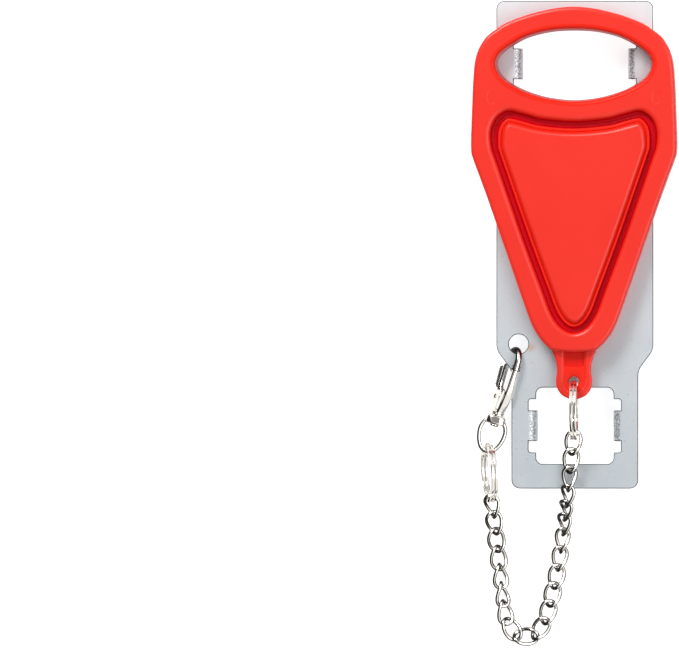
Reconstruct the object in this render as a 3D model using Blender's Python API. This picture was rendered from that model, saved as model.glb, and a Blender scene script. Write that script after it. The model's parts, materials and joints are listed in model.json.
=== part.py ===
"""Portable door lock: steel plate with claws, loose moulded handle, and the clasp, rings and chain between them.

Metres, +Z up. The origin is the centre of the plate's underside, +Y runs to the plate's wide end.
"""

import math

import bmesh
import bpy
from mathutils import Matrix, Vector

# Plate
PLATE_LENGTH = 0.150
PLATE_WIDTH = 0.0483
PLATE_LOWER_WIDTH = 0.0390
PLATE_THICKNESS = 0.0015
SHOULDER_FROM_CENTRE = 0.0324
SHOULDER_DROP = 0.0062
PLATE_TOP_CORNER = 0.0023
PLATE_SHOULDER_CORNER = 0.0055
PLATE_BOTTOM_CORNER = 0.0025

# Windows and claws
UPPER_WINDOW_WIDTH = 0.0330
UPPER_WINDOW_HEIGHT = 0.0264
LOWER_WINDOW_WIDTH = 0.0239
LOWER_WINDOW_HEIGHT = 0.0235
UPPER_WINDOW_FROM_END = 0.0061
LOWER_WINDOW_FROM_END = 0.00755
WINDOW_CORNER = 0.0020
CLAW_LENGTH = 0.0094
CLAW_REACH = 0.0080
CLAW_INSET = 0.0007
CLAW_BEND_RADIUS = 0.0009
CLAW_TIP_CORNER = 0.0015
RELIEF_WIDTH = 0.0035
RELIEF_CORNER = 0.0008
CLASP_HOLE_DIAMETER = 0.0060
CLASP_HOLE_FROM_EDGE = 0.00685
CLASP_HOLE_FROM_CENTRE = 0.03055

# Handle
HANDLE_GAP = 0.0003
HANDLE_LENGTH = 0.1207
HANDLE_WIDTH = 0.0632
TAB_OVER_WINDOW = 0.00365
HANDLE_THICKNESS = 0.0080
HANDLE_EDGE_ROUND = 0.0011
FINGER_HOLE_WIDTH = 0.0484
FINGER_HOLE_HEIGHT = 0.0225
FINGER_HOLE_FROM_TOP = 0.0067
GROOVE_WIDTH = 0.0513
GROOVE_LENGTH = 0.0684
GROOVE_FROM_TOP = 0.0319
GROOVE_BAND = 0.0034
GROOVE_DEPTH = 0.0030
LEDGE_DEPTH = 0.0014
LEDGE_BAND = 0.0017
TAB_THICKNESS = 0.0030
TAB_RISE = 0.0025
TAB_STEP_FROM_END = 0.0146
TAB_STEP_BULGE = 0.0034
TAB_HOLE_FROM_END = 0.0055
TAB_HOLE_DIAMETER = 0.0036
TAB_BORE_DIAMETER = 0.0065
TAB_BORE_DEPTH = 0.0009
POCKET_WIDTH = 0.0075
POCKET_LENGTH = 0.0062
POCKET_DEPTH = 0.0011
POCKET_CORNER = 0.0009

# Split rings
RING_DIAMETER = 0.0184
RING_WIRE_RADIAL = 0.0012
RING_WIRE_WIDTH = 0.0010
RING_COIL_GAP = 0.00012
RING_EDGE_ROUND = 0.0003
HANDLE_RING_FROM_HOLE = 0.0089
RING_EDGE_CLEARANCE = 0.0003

# Chain
LINK_COUNT = 21
LINK_PITCH = 0.00565
LINK_WIRE = 0.0011
LINK_WIDTH = 0.0058
LINK_GAP = 0.0006
RING_LINK_GAP = 0.00055
BAR_RIDE = 0.0033
BAR_OVERHANG = 0.0010
TABLE_RIDE = 0.0030

# Clasp
HOOK_OUTWARDS = 0.0005
HOOK_BELOW_CENTRE = 0.00104
CLASP_HEIGHT = 0.0006
HOOK_WIRE = 0.0019
HOOK_INNER_WIDTH = 0.0050
HOOK_TOP = 0.0214
HOOK_TIP = 0.0150
BODY_THICKNESS = 0.0030
BODY_LENGTH = 0.0064
BODY_WIDTH = 0.0076
SPINE_WIDTH = 0.0020
SPINE_THICKNESS = 0.0022
SLOT_FROM_FLANGE = 0.0016
RIVET_SEAT = 0.0011
COLLAR_FROM_FLANGE = 0.0142
COLLAR_LENGTH = 0.0009
COLLAR_DIAMETER = 0.0027
FLANGE_DIAMETER = 0.0044
FLANGE_LENGTH = 0.0010
LEVER_THICKNESS = 0.0012
LEVER_CLEARANCE = 0.0003
LEVER_ARM_WIDTH = 0.0016
LEVER_TAB_DEPTH = 0.0018
LEVER_PIVOT_FROM_FLANGE = 0.0042
LEVER_PIVOT_OFFSET = 0.0020
PIN_DIAMETER = 0.0010
PIN_CLEARANCE = 0.00015
SPRING_THICKNESS = 0.0002
SPRING_LENGTH = 0.0034
RIVET_DIAMETER = 0.0016
RIVET_HEAD_DIAMETER = 0.0034
RIVET_HEAD_LENGTH = 0.0009
EYE_CLEARANCE = 0.0003
EYE_COLLAR_LENGTH = 0.0028
EYE_COLLAR_DIAMETER = 0.0048
EYE_WIRE = 0.0011
EYE_WIDTH = 0.0090
EYE_LENGTH = 0.0126
EYE_RING_GAP = 0.0009

# One overrun serves all cuts
OVERRUN = 0.0010

# Angles in degrees
CLASP_LEAN = 16.5
CLASP_ROLL = 28.0
RING_LEAN = 4.0
RING_ROLL = 10.0
RING_END_TURN = 20.0
RING_CROSS_TURN = 16.0
LINK_TWIST = 90.0
CHAIN_FALL = 25.0
LINK_ROLLS = [40, 48, 62, 76, 86, 80, 55, 30, 14, 8, 16, 18, 6, 12, 38, 55, 44, 22, 4, -16, -36]

# Counts
CORNER_STEPS = 5
CIRCLE_STEPS = 24
CURVE_STEPS = 3
RING_STEPS = 30
LINK_STEPS = 24
ROUTE_STEPS = 12

# Half outlines, as shares of half the width and of the length, from the top down
HANDLE_SHARES = [
    (0.0, 0.0), (0.40, 0.0168), (0.610, 0.0355), (0.763, 0.0584), (0.868, 0.082), (0.928, 0.109),
    (0.964, 0.142), (0.981, 0.195), (1.0, 0.325), (1.0, 0.364), (0.985, 0.3845), (0.835, 0.492),
    (0.623, 0.652), (0.411, 0.813),
    (0.259, 0.857), (0.190, 0.882), (0.171, 0.909), (0.168, 0.930), (0.180, 0.951), (0.165, 0.972),
    (0.100, 0.992), (0.0, 1.0),
]
FINGER_SHARES = [
    (0.0, 0.0), (0.27, 0.016), (0.52, 0.073), (0.68, 0.142), (0.83, 0.238), (0.945, 0.335),
    (0.995, 0.430), (1.0, 0.490), (0.980, 0.580), (0.915, 0.680), (0.785, 0.785), (0.585, 0.885),
    (0.32, 0.965), (0.0, 1.0),
]
GROOVE_SHARES = [
    (0.0, 0.047), (0.386, 0.035), (0.581, 0.016), (0.764, 0.0), (0.862, 0.0105), (0.943, 0.040),
    (0.990, 0.080), (1.0, 0.118), (0.985, 0.170), (0.938, 0.2213), (0.789, 0.3835), (0.587, 0.600),
    (0.372, 0.816), (0.267, 0.918), (0.148, 0.978), (0.0, 1.0),
]
# The chain's lie: shares of the way across from the handle's ring to the clasp's, and of the way down
# from the plate's end (first tables) or from the clasp's ring (last table) to the loop's lowest point
CHAIN_BAR_SHARES = (0.045, 0.075)
CHAIN_FALL_SHARES = (0.115, 0.145)
CHAIN_RIGHT_SHARES = [(0.150, 0.285), (0.211, 0.530), (0.295, 0.740), (0.375, 0.895), (0.450, 0.968)]
CHAIN_BOTTOM_SHARE = 0.600
CHAIN_LEFT_SHARES = [(0.745, 0.966), (0.820, 0.890), (0.870, 0.735), (0.905, 0.530), (0.955, 0.270)]
EYE_SHARES = [(0.45, 0.0), (0.84, 0.14), (1.0, 0.36), (0.90, 0.64), (0.62, 0.88), (0.30, 0.985), (0.0, 1.0)]

COLOURS = {
    "zinc": ((0.58, 0.62, 0.66), 0.42, 0.9),
    "red_plastic": ((0.93, 0.05, 0.03), 0.28, 0.0),
    "nickel": ((0.78, 0.76, 0.72), 0.12, 1.0),
    "spring_steel": ((0.45, 0.45, 0.46), 0.3, 1.0),
}

PLATE_TOP = PLATE_THICKNESS
TABLE = -CLAW_REACH
CLAW_OUTER_RADIUS = CLAW_BEND_RADIUS + PLATE_THICKNESS
HANDLE_BOTTOM = PLATE_TOP + HANDLE_GAP
UPPER_WINDOW_Y = PLATE_LENGTH / 2 - UPPER_WINDOW_FROM_END - UPPER_WINDOW_HEIGHT / 2
LOWER_WINDOW_Y = LOWER_WINDOW_FROM_END + LOWER_WINDOW_HEIGHT / 2 - PLATE_LENGTH / 2
LOWER_WINDOW_TOP = LOWER_WINDOW_Y + LOWER_WINDOW_HEIGHT / 2
CLASP_HOLE_X = CLASP_HOLE_FROM_EDGE - PLATE_WIDTH / 2
CLASP_HOLE_Y = -CLASP_HOLE_FROM_CENTRE
HANDLE_END = LOWER_WINDOW_TOP - TAB_OVER_WINDOW
HANDLE_TOP = HANDLE_END + HANDLE_LENGTH
TAB_HOLE_Y = HANDLE_END + TAB_HOLE_FROM_END
RING_RADIUS = RING_DIAMETER / 2
CLASP_RING_HEIGHT = TABLE + RING_RADIUS + RING_COIL_GAP
LINK_INNER_LENGTH = LINK_PITCH + LINK_GAP
LINK_OUTER_LENGTH = LINK_INNER_LENGTH + 2 * LINK_WIRE
ALONG_CLASP = Matrix.Rotation(math.radians(-90), 4, "X")


def clear_scene():
    for old in list(bpy.data.objects):
        bpy.data.objects.remove(old)


def material(name):
    """One Principled material for a finish, made once and shared."""
    if name in bpy.data.materials:
        return bpy.data.materials[name]
    colour, roughness, metallic = COLOURS[name]
    made = bpy.data.materials.new(name)
    made.use_nodes = True
    shader = made.node_tree.nodes["Principled BSDF"]
    shader.inputs["Base Color"].default_value = (*colour, 1.0)
    shader.inputs["Roughness"].default_value = roughness
    shader.inputs["Metallic"].default_value = metallic
    return made


def add_object(name, data, finish, matrix=None):
    """Link a mesh or a curve to the scene as a named piece."""
    piece = bpy.data.objects.new(name, data)
    bpy.context.scene.collection.objects.link(piece)
    piece.data.materials.append(material(finish))
    piece.matrix_world = matrix or Matrix.Identity(4)
    return piece


def mesh_from(bm, name):
    bmesh.ops.recalc_face_normals(bm, faces=bm.faces)
    mesh = bpy.data.meshes.new(name)
    bm.to_mesh(mesh)
    bm.free()
    return mesh


def baked(piece):
    """Replace a piece's data with its evaluated mesh, so that later cuts meet real faces."""
    bpy.context.view_layer.update()
    graph = bpy.context.evaluated_depsgraph_get()
    mesh = bpy.data.meshes.new_from_object(piece.evaluated_get(graph))
    if piece.type == "CURVE":
        name, finish, frame = piece.name, piece.data.materials[0].name, piece.matrix_world.copy()
        bpy.data.objects.remove(piece)
        mesh.materials.clear()
        return add_object(name, mesh, finish, frame)
    piece.modifiers.clear()
    piece.data = mesh
    return piece


def boolean(piece, other, operation):
    """Cut or join one piece with another, and drop the other."""
    step = piece.modifiers.new("boolean", "BOOLEAN")
    step.object = other
    step.operation = operation
    step.solver = "EXACT"
    baked(piece)
    bpy.data.objects.remove(other)
    return piece


def set_origin(piece, place):
    """Put a piece's origin on its joint, and leave the piece where it is."""
    shift = Matrix.Translation(piece.matrix_world.inverted() @ Vector(place))
    piece.data.transform(shift.inverted())
    piece.matrix_world = piece.matrix_world @ shift


def smooth(piece, angle=35.0):
    piece.data.shade_smooth()
    piece.data.set_sharp_from_angle(angle=math.radians(angle))
    return piece


def arc(centre, radius, start, end, steps):
    """Points of an arc in the plane, angles in degrees, both ends included."""
    points = []
    for i in range(steps + 1):
        turn = math.radians(start + (end - start) * i / steps)
        points.append(centre + Vector((math.cos(turn), math.sin(turn))) * radius)
    return points


def circle(centre, radius, steps=CIRCLE_STEPS):
    return arc(Vector(centre), radius, 0.0, 360.0, steps)[:-1]


def rounded(corners):
    """A closed outline whose corners (x, y, radius) are rounded with arcs."""
    points = []
    count = len(corners)
    for i, (x, y, radius) in enumerate(corners):
        here = Vector((x, y))
        if radius == 0:
            points.append(here)
            continue
        back = (Vector(corners[i - 1][:2]) - here).normalized()
        ahead = (Vector(corners[(i + 1) % count][:2]) - here).normalized()
        half = back.angle(ahead) / 2
        centre = here + (back + ahead).normalized() * (radius / math.sin(half))
        first = here + back * (radius / math.tan(half)) - centre
        start = math.degrees(math.atan2(first.y, first.x))
        sweep = 180.0 - math.degrees(2 * half)
        if back.cross(ahead) > 0:
            sweep = -sweep
        points += arc(centre, radius, start, start + sweep, CORNER_STEPS)
    return points


def flowing(points, steps, closed=False):
    """A smooth curve through the points (Catmull-Rom), with the same number of steps in each span."""
    points = [Vector(p) for p in points]
    count = len(points)
    spans = count if closed else count - 1
    curve = []
    for i in range(spans):
        p1, p2 = points[i], points[(i + 1) % count]
        p0 = points[i - 1] if closed or i > 0 else p1 * 2 - p2
        p3 = points[(i + 2) % count] if closed or i + 2 < count else p2 * 2 - p1
        for step in range(steps):
            t = step / steps
            curve.append(
                0.5 * (2 * p1 + (p2 - p0) * t + (2 * p0 - 5 * p1 + 4 * p2 - p3) * t**2
                       + (3 * p1 - p0 - 3 * p2 + p3) * t**3)
            )
    if not closed:
        curve.append(points[-1])
    return curve


def mirrored_outline(shares, width, length, top):
    """A closed outline from the shares of its right half, with a smooth curve through them."""
    half = [Vector((x * width / 2, top - y * length)) for x, y in shares]
    loop = half + [Vector((-p.x, p.y)) for p in reversed(half[1:-1])]
    return flowing(loop, CURVE_STEPS, closed=True)


def inset_outline(points, distance):
    """The outline moved inwards by a distance along its own normals."""
    count = len(points)
    moved = []
    for i, here in enumerate(points):
        along = (points[(i + 1) % count] - points[i - 1]).normalized()
        moved.append(here + Vector((along.y, -along.x)) * distance)
    return moved


def clockwise(points):
    area = sum(a.x * b.y - b.x * a.y for a, b in zip(points, points[1:] + points[:1]))
    return points if area < 0 else list(reversed(points))


def slab(outlines, bottom, top):
    """A flat body between two heights: the first outline is its rim, the others are its openings."""
    bm = bmesh.new()
    edges = []
    for outline in outlines:
        verts = [bm.verts.new((p.x, p.y, bottom)) for p in outline]
        edges += [bm.edges.new((a, b)) for a, b in zip(verts, verts[1:] + verts[:1])]
    bmesh.ops.triangle_fill(bm, use_beauty=True, edges=edges, normal=(0, 0, 1))
    grown = bmesh.ops.extrude_face_region(bm, geom=bm.faces[:])["geom"]
    lifted = [v for v in grown if isinstance(v, bmesh.types.BMVert)]
    bmesh.ops.translate(bm, vec=(0, 0, top - bottom), verts=lifted)
    bmesh.ops.recalc_face_normals(bm, faces=bm.faces)
    return bm


def slab_object(name, outlines, bottom, top, finish, matrix=None):
    return add_object(name, mesh_from(slab(outlines, bottom, top), name), finish, matrix)


def cut(piece, outlines, bottom, top, matrix=None):
    boolean(piece, slab_object("cutter", outlines, bottom, top, "zinc", matrix), "DIFFERENCE")


def rod(name, radius, length, finish, matrix, steps=CIRCLE_STEPS):
    """A round bar from the matrix's origin along its Z axis."""
    return slab_object(name, [circle((0, 0), radius, steps)], 0, length, finish, matrix)


def wire(name, points, diameter, finish, matrix=None, closed=False, sides=1):
    """A round wire along the points."""
    curve = bpy.data.curves.new(name, "CURVE")
    curve.dimensions = "3D"
    curve.bevel_depth = diameter / 2
    curve.bevel_resolution = sides
    curve.use_fill_caps = not closed
    spline = curve.splines.new("POLY")
    spline.points.add(len(points) - 1)
    for spot, point in zip(spline.points, points):
        spot.co = (*point, 1.0)
    spline.use_cyclic_u = closed
    return add_object(name, curve, finish, matrix)


def window_outline(centre_y, width, height):
    """A window whose sides step out into a claw root with a relief at each end of the claw."""
    edge = width / 2
    root = edge - CLAW_INSET + CLAW_OUTER_RADIUS
    top, bottom = centre_y + height / 2, centre_y - height / 2
    claw = CLAW_LENGTH / 2
    relief = claw + RELIEF_WIDTH
    right = [
        (edge, top, WINDOW_CORNER),
        (edge, centre_y + relief, 0),
        (root, centre_y + relief, RELIEF_CORNER),
        (root, centre_y + claw, 0),
        (root, centre_y - claw, 0),
        (root, centre_y - relief, RELIEF_CORNER),
        (edge, centre_y - relief, 0),
        (edge, bottom, WINDOW_CORNER),
    ]
    left = [(-x, y, radius) for x, y, radius in reversed(right)]
    return rounded(right + left)


def bend_claw(bm, root_x, centre_y):
    """Bend the sheet down at a claw root: turn the wall's face about the bend line, then run it down."""
    side = math.copysign(1, root_x)
    wall = [
        f for f in bm.faces
        if abs(f.normal.x + side) < 0.01
        and abs(f.calc_center_median().x - root_x) < PLATE_THICKNESS / 10
        and abs(f.calc_center_median().y - centre_y) < CLAW_LENGTH / 2
    ]
    pivot = Vector((root_x, centre_y, -CLAW_BEND_RADIUS))
    step = Matrix.Rotation(-side * math.pi / 2 / CORNER_STEPS, 3, "Y")
    for _ in range(CORNER_STEPS):
        wall = extruded(bm, wall)
        bmesh.ops.rotate(bm, cent=pivot, matrix=step, verts=verts_of(wall))
    wall = extruded(bm, wall)
    straight = CLAW_REACH - CLAW_BEND_RADIUS
    bmesh.ops.translate(bm, vec=(0, 0, -straight), verts=verts_of(wall))
    ends = [
        e for e in edges_of(wall)
        if abs(e.verts[0].co.y - e.verts[1].co.y) < CLAW_TIP_CORNER
    ]
    bmesh.ops.bevel(
        bm, geom=ends, offset=CLAW_TIP_CORNER, offset_type="OFFSET", segments=3, profile=0.5,
        affect="EDGES", material=-1,
    )


def extruded(bm, faces):
    grown = bmesh.ops.extrude_face_region(bm, geom=faces)["geom"]
    bmesh.ops.delete(bm, geom=faces, context="FACES")
    return [f for f in grown if isinstance(f, bmesh.types.BMFace)]


def verts_of(faces):
    return list({v for f in faces for v in f.verts})


def edges_of(faces):
    return list({e for f in faces for e in f.edges})


def make_plate():
    """The stamped plate: rim, windows, clasp hole, and the four claws bent down from the window sides."""
    half, lower = PLATE_WIDTH / 2, PLATE_LOWER_WIDTH / 2
    end = PLATE_LENGTH / 2
    right = [
        (half, end, PLATE_TOP_CORNER),
        (half, -SHOULDER_FROM_CENTRE, PLATE_SHOULDER_CORNER),
        (lower, -SHOULDER_FROM_CENTRE - SHOULDER_DROP, PLATE_SHOULDER_CORNER),
        (lower, -end, PLATE_BOTTOM_CORNER),
    ]
    rim = rounded(right + [(-x, y, radius) for x, y, radius in reversed(right)])
    windows = [
        (UPPER_WINDOW_Y, UPPER_WINDOW_WIDTH, UPPER_WINDOW_HEIGHT),
        (LOWER_WINDOW_Y, LOWER_WINDOW_WIDTH, LOWER_WINDOW_HEIGHT),
    ]
    hole = circle((CLASP_HOLE_X, CLASP_HOLE_Y), CLASP_HOLE_DIAMETER / 2)
    openings = [window_outline(*window) for window in windows] + [hole]
    bm = slab([rim] + openings, 0, PLATE_TOP)
    for centre_y, width, _ in windows:
        root = width / 2 - CLAW_INSET + CLAW_OUTER_RADIUS
        for side in (1, -1):
            bend_claw(bm, side * root, centre_y)
    smooth(add_object("plate", mesh_from(bm, "plate"), "zinc"))


def make_handle():
    """The moulded handle: rounded V, finger hole, pad in a stepped groove, and the thin tab at the tip."""
    top = HANDLE_TOP
    rim = mirrored_outline(HANDLE_SHARES, HANDLE_WIDTH, HANDLE_LENGTH, top)
    finger = mirrored_outline(
        FINGER_SHARES, FINGER_HOLE_WIDTH, FINGER_HOLE_HEIGHT, top - FINGER_HOLE_FROM_TOP
    )
    face = HANDLE_BOTTOM + HANDLE_THICKNESS
    bm = slab([rim, finger], HANDLE_BOTTOM, face)
    rims = [
        e for e in bm.edges
        if abs(e.verts[0].co.z - e.verts[1].co.z) < HANDLE_EDGE_ROUND
        and e.calc_face_angle(0) > math.radians(60)
    ]
    bmesh.ops.bevel(
        bm, geom=rims, offset=HANDLE_EDGE_ROUND, offset_type="OFFSET", segments=2, profile=0.5,
        affect="EDGES", material=-1,
    )
    handle = add_object("handle", mesh_from(bm, "handle"), "red_plastic")
    tab_bottom = HANDLE_BOTTOM + TAB_RISE
    tab_top = tab_bottom + TAB_THICKNESS

    step_y = HANDLE_END + TAB_STEP_FROM_END
    reach = HANDLE_WIDTH / 4
    arc_radius = (reach**2 + TAB_STEP_BULGE**2) / (2 * TAB_STEP_BULGE)
    swing = math.degrees(math.asin(reach / arc_radius))
    centre = Vector((0, step_y + arc_radius))
    step_edge = arc(centre, arc_radius, 270 - swing, 270 + swing, CORNER_STEPS * 2)
    far = HANDLE_END - OVERRUN
    below = [Vector((reach, far)), Vector((-reach, far))]
    cut(handle, [step_edge + below], tab_top, face + OVERRUN)
    cut(handle, [step_edge + below], HANDLE_BOTTOM - OVERRUN, tab_bottom)

    pocket_top = step_y - POCKET_CORNER
    pocket_bottom = pocket_top - POCKET_LENGTH
    half = POCKET_WIDTH / 2
    pocket = rounded([
        (half, pocket_top, POCKET_CORNER), (half, pocket_bottom, POCKET_CORNER),
        (-half, pocket_bottom, POCKET_CORNER), (-half, pocket_top, POCKET_CORNER),
    ])
    cut(handle, [pocket], tab_top - POCKET_DEPTH, tab_top + OVERRUN)
    hole = (0, TAB_HOLE_Y)
    bore = [circle(hole, TAB_BORE_DIAMETER / 2)]
    cut(handle, bore, tab_top - TAB_BORE_DEPTH, tab_top + OVERRUN)
    cut(handle, bore, tab_bottom - OVERRUN, tab_bottom + TAB_BORE_DEPTH)
    cut(handle, [circle(hole, TAB_HOLE_DIAMETER / 2)], HANDLE_BOTTOM - OVERRUN, tab_top)

    groove = clockwise(
        mirrored_outline(GROOVE_SHARES, GROOVE_WIDTH, GROOVE_LENGTH, top - GROOVE_FROM_TOP)
    )
    pad = inset_outline(groove, GROOVE_BAND)
    ledge = inset_outline(groove, GROOVE_BAND - LEDGE_BAND)
    within_groove = inset_outline(groove, (GROOVE_BAND - LEDGE_BAND) / 2)
    cut(handle, [groove, ledge], face - GROOVE_DEPTH, face + OVERRUN)
    cut(handle, [within_groove, pad], face - LEDGE_DEPTH, face + OVERRUN)
    smooth(handle)


def make_split_ring(name, centre, lean, roll):
    """A split ring: one flat wire wound twice round, crossing from coil to coil beside its two ends."""
    mean = RING_RADIUS - RING_WIRE_RADIAL / 2
    offset = (RING_WIRE_WIDTH + RING_COIL_GAP) / 2
    wound = 720.0 - 2 * RING_END_TURN
    turns = [RING_END_TURN + wound * i / (2 * RING_STEPS) for i in range(2 * RING_STEPS + 1)]

    bm = bmesh.new()
    half_r, half_w = RING_WIRE_RADIAL / 2, RING_WIRE_WIDTH / 2
    corners = []
    for r, w in ((1, 1), (1, -1), (-1, -1), (-1, 1)):
        near = (r * (half_r - RING_EDGE_ROUND), w * half_w)
        far = (r * half_r, w * (half_w - RING_EDGE_ROUND))
        corners += [near, far] if r * w > 0 else [far, near]
    section = [bm.verts.new((w, mean + r, 0)) for r, w in corners]
    face = bm.faces.new(section)
    begin = Matrix.Rotation(math.radians(turns[0]), 3, "X")
    bmesh.ops.rotate(bm, cent=(0, 0, 0), matrix=begin, verts=section)
    bmesh.ops.translate(bm, vec=(coil_shift(turns[0], offset), 0, 0), verts=section)
    first = face
    for before, after in zip(turns, turns[1:]):
        grown = bmesh.ops.extrude_face_region(bm, geom=[face])["geom"]
        if face is not first:
            bmesh.ops.delete(bm, geom=[face], context="FACES_ONLY")
        face = next(f for f in grown if isinstance(f, bmesh.types.BMFace))
        verts = list(face.verts)
        turn = Matrix.Rotation(math.radians(after - before), 3, "X")
        bmesh.ops.rotate(bm, cent=(0, 0, 0), matrix=turn, verts=verts)
        shift = coil_shift(after, offset) - coil_shift(before, offset)
        bmesh.ops.translate(bm, vec=(shift, 0, 0), verts=verts)
    frame = (
        Matrix.Translation(centre)
        @ Matrix.Rotation(math.radians(lean), 4, "Z")
        @ Matrix.Rotation(math.radians(roll), 4, "Y")
    )
    return smooth(add_object(name, mesh_from(bm, name), "nickel", frame))


def coil_shift(turn, offset):
    """Where the wire lies along the ring's axis: on one coil, crossing over, or on the other."""
    share = min(max((turn - 360.0 + RING_CROSS_TURN) / (2 * RING_CROSS_TURN), 0.0), 1.0)
    return offset * (2 * (3 * share**2 - 2 * share**3) - 1)


def link_points():
    """A curb link's centre line: a long loop along X whose plane turns a quarter from end to end."""
    reach = (LINK_OUTER_LENGTH - LINK_WIRE) / 2
    radius = (LINK_WIDTH - LINK_WIRE) / 2
    straight = reach - radius
    right = arc(Vector((straight, 0)), radius, -90, 90, LINK_STEPS // 2 - 1)
    left = arc(Vector((-straight, 0)), radius, 90, 270, LINK_STEPS // 2 - 1)
    points = []
    for p in right + left:
        turn = math.radians(LINK_TWIST / 2) * p.x / reach
        points.append(Vector((p.x, p.y * math.cos(turn), p.y * math.sin(turn))))
    return points


def chain_route(start, end, bottom_y):
    """The chain's lie: over the plate's lower bar, down to the table, round the bend and up to the clasp ring."""
    bar_top = LOWER_WINDOW_Y - LOWER_WINDOW_HEIGHT / 2
    plate_end = -PLATE_LENGTH / 2
    over_bar = PLATE_TOP + BAR_RIDE
    on_table = TABLE + TABLE_RIDE
    across = end.x - start.x
    right_depth = plate_end - bottom_y
    left_depth = end.y - bottom_y
    midway = (over_bar + on_table) / 2
    points = [
        start,
        (start.x + across * CHAIN_BAR_SHARES[0], bar_top, over_bar),
        (start.x + across * CHAIN_BAR_SHARES[1], plate_end - BAR_OVERHANG, over_bar),
        (start.x + across * CHAIN_FALL_SHARES[0], plate_end - right_depth * CHAIN_FALL_SHARES[1], midway),
    ]
    points += [(start.x + across * x, plate_end - right_depth * y, on_table) for x, y in CHAIN_RIGHT_SHARES]
    points.append((start.x + across * CHAIN_BOTTOM_SHARE, bottom_y, on_table))
    points += [(start.x + across * x, end.y - left_depth * y, on_table) for x, y in CHAIN_LEFT_SHARES]
    points[-1] = (*points[-1][:2], (on_table * 3 + end.z) / 4)
    points.append(end)
    return flowing(points, ROUTE_STEPS)


def chain_pivots(start, end, bottom_y):
    """Step along the route by one pitch at a time; also say how far past the end the last step lands."""
    route = chain_route(start, end, bottom_y)
    pivots = [route[0]]
    for a, b in zip(route, route[1:]):
        while len(pivots) <= LINK_COUNT and (b - pivots[-1]).length >= LINK_PITCH:
            low, high = 0.0, 1.0
            for _ in range(40):
                middle = (low + high) / 2
                if (a.lerp(b, middle) - pivots[-1]).length < LINK_PITCH:
                    low = middle
                else:
                    high = middle
            pivots.append(a.lerp(b, high))
            a = pivots[-1]
    missing = (LINK_COUNT + 1 - len(pivots)) * LINK_PITCH
    past = missing if missing > 0 else -(end - pivots[-1]).length
    return pivots, past - (end - pivots[-1]).length * (1 if missing > 0 else 0)


def settled_pivots(start, end):
    """Find the depth of the loop that the chain's own length leaves."""
    shallow, deep = end.y - LINK_PITCH, end.y - LINK_PITCH * LINK_COUNT
    for _ in range(60):
        middle = (shallow + deep) / 2
        pivots, past = chain_pivots(start, end, middle)
        if past > 0:
            shallow = middle
        else:
            deep = middle
    pivots, _ = chain_pivots(start, end, deep)
    return pivots


def make_chain(start, end):
    pivots = settled_pivots(start, end)
    points = link_points()
    for i, (a, b) in enumerate(zip(pivots, pivots[1:])):
        along = (b - a).normalized()
        across = Vector((0, 0, 1)).cross(along).normalized()
        up = along.cross(across)
        turn = Matrix.Rotation(math.radians(LINK_ROLLS[i]), 4, "X")
        frame = Matrix((along, across, up)).transposed().to_4x4()
        frame = Matrix.Translation(a) @ frame @ turn
        middle = Vector(((b - a).length / 2, 0, 0))
        shifted = [p + middle for p in points]
        name = f"chain_link_{i + 1:02d}"
        wire(name, shifted, LINK_WIRE, "nickel", frame, closed=True)


def clasp_frame():
    """The clasp's own axes: X across its plane, Y from flange to hook, Z from the gate to the spine."""
    apex = HOOK_TOP - HOOK_WIRE / 2
    return (
        Matrix.Translation((CLASP_HOLE_X - HOOK_OUTWARDS, CLASP_HOLE_Y - HOOK_BELOW_CENTRE, CLASP_HEIGHT))
        @ Matrix.Rotation(math.radians(-CLASP_LEAN), 4, "Z")
        @ Matrix.Rotation(math.radians(CLASP_ROLL), 4, "Y")
        @ Matrix.Translation((0, -apex, 0))
    )


def flat_in_clasp(frame):
    """Turn a slab so that its outline lies in the clasp's plane: outline x to spine side, y to the hook."""
    return frame @ Matrix.Rotation(math.radians(-90), 4, "Y")


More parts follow.
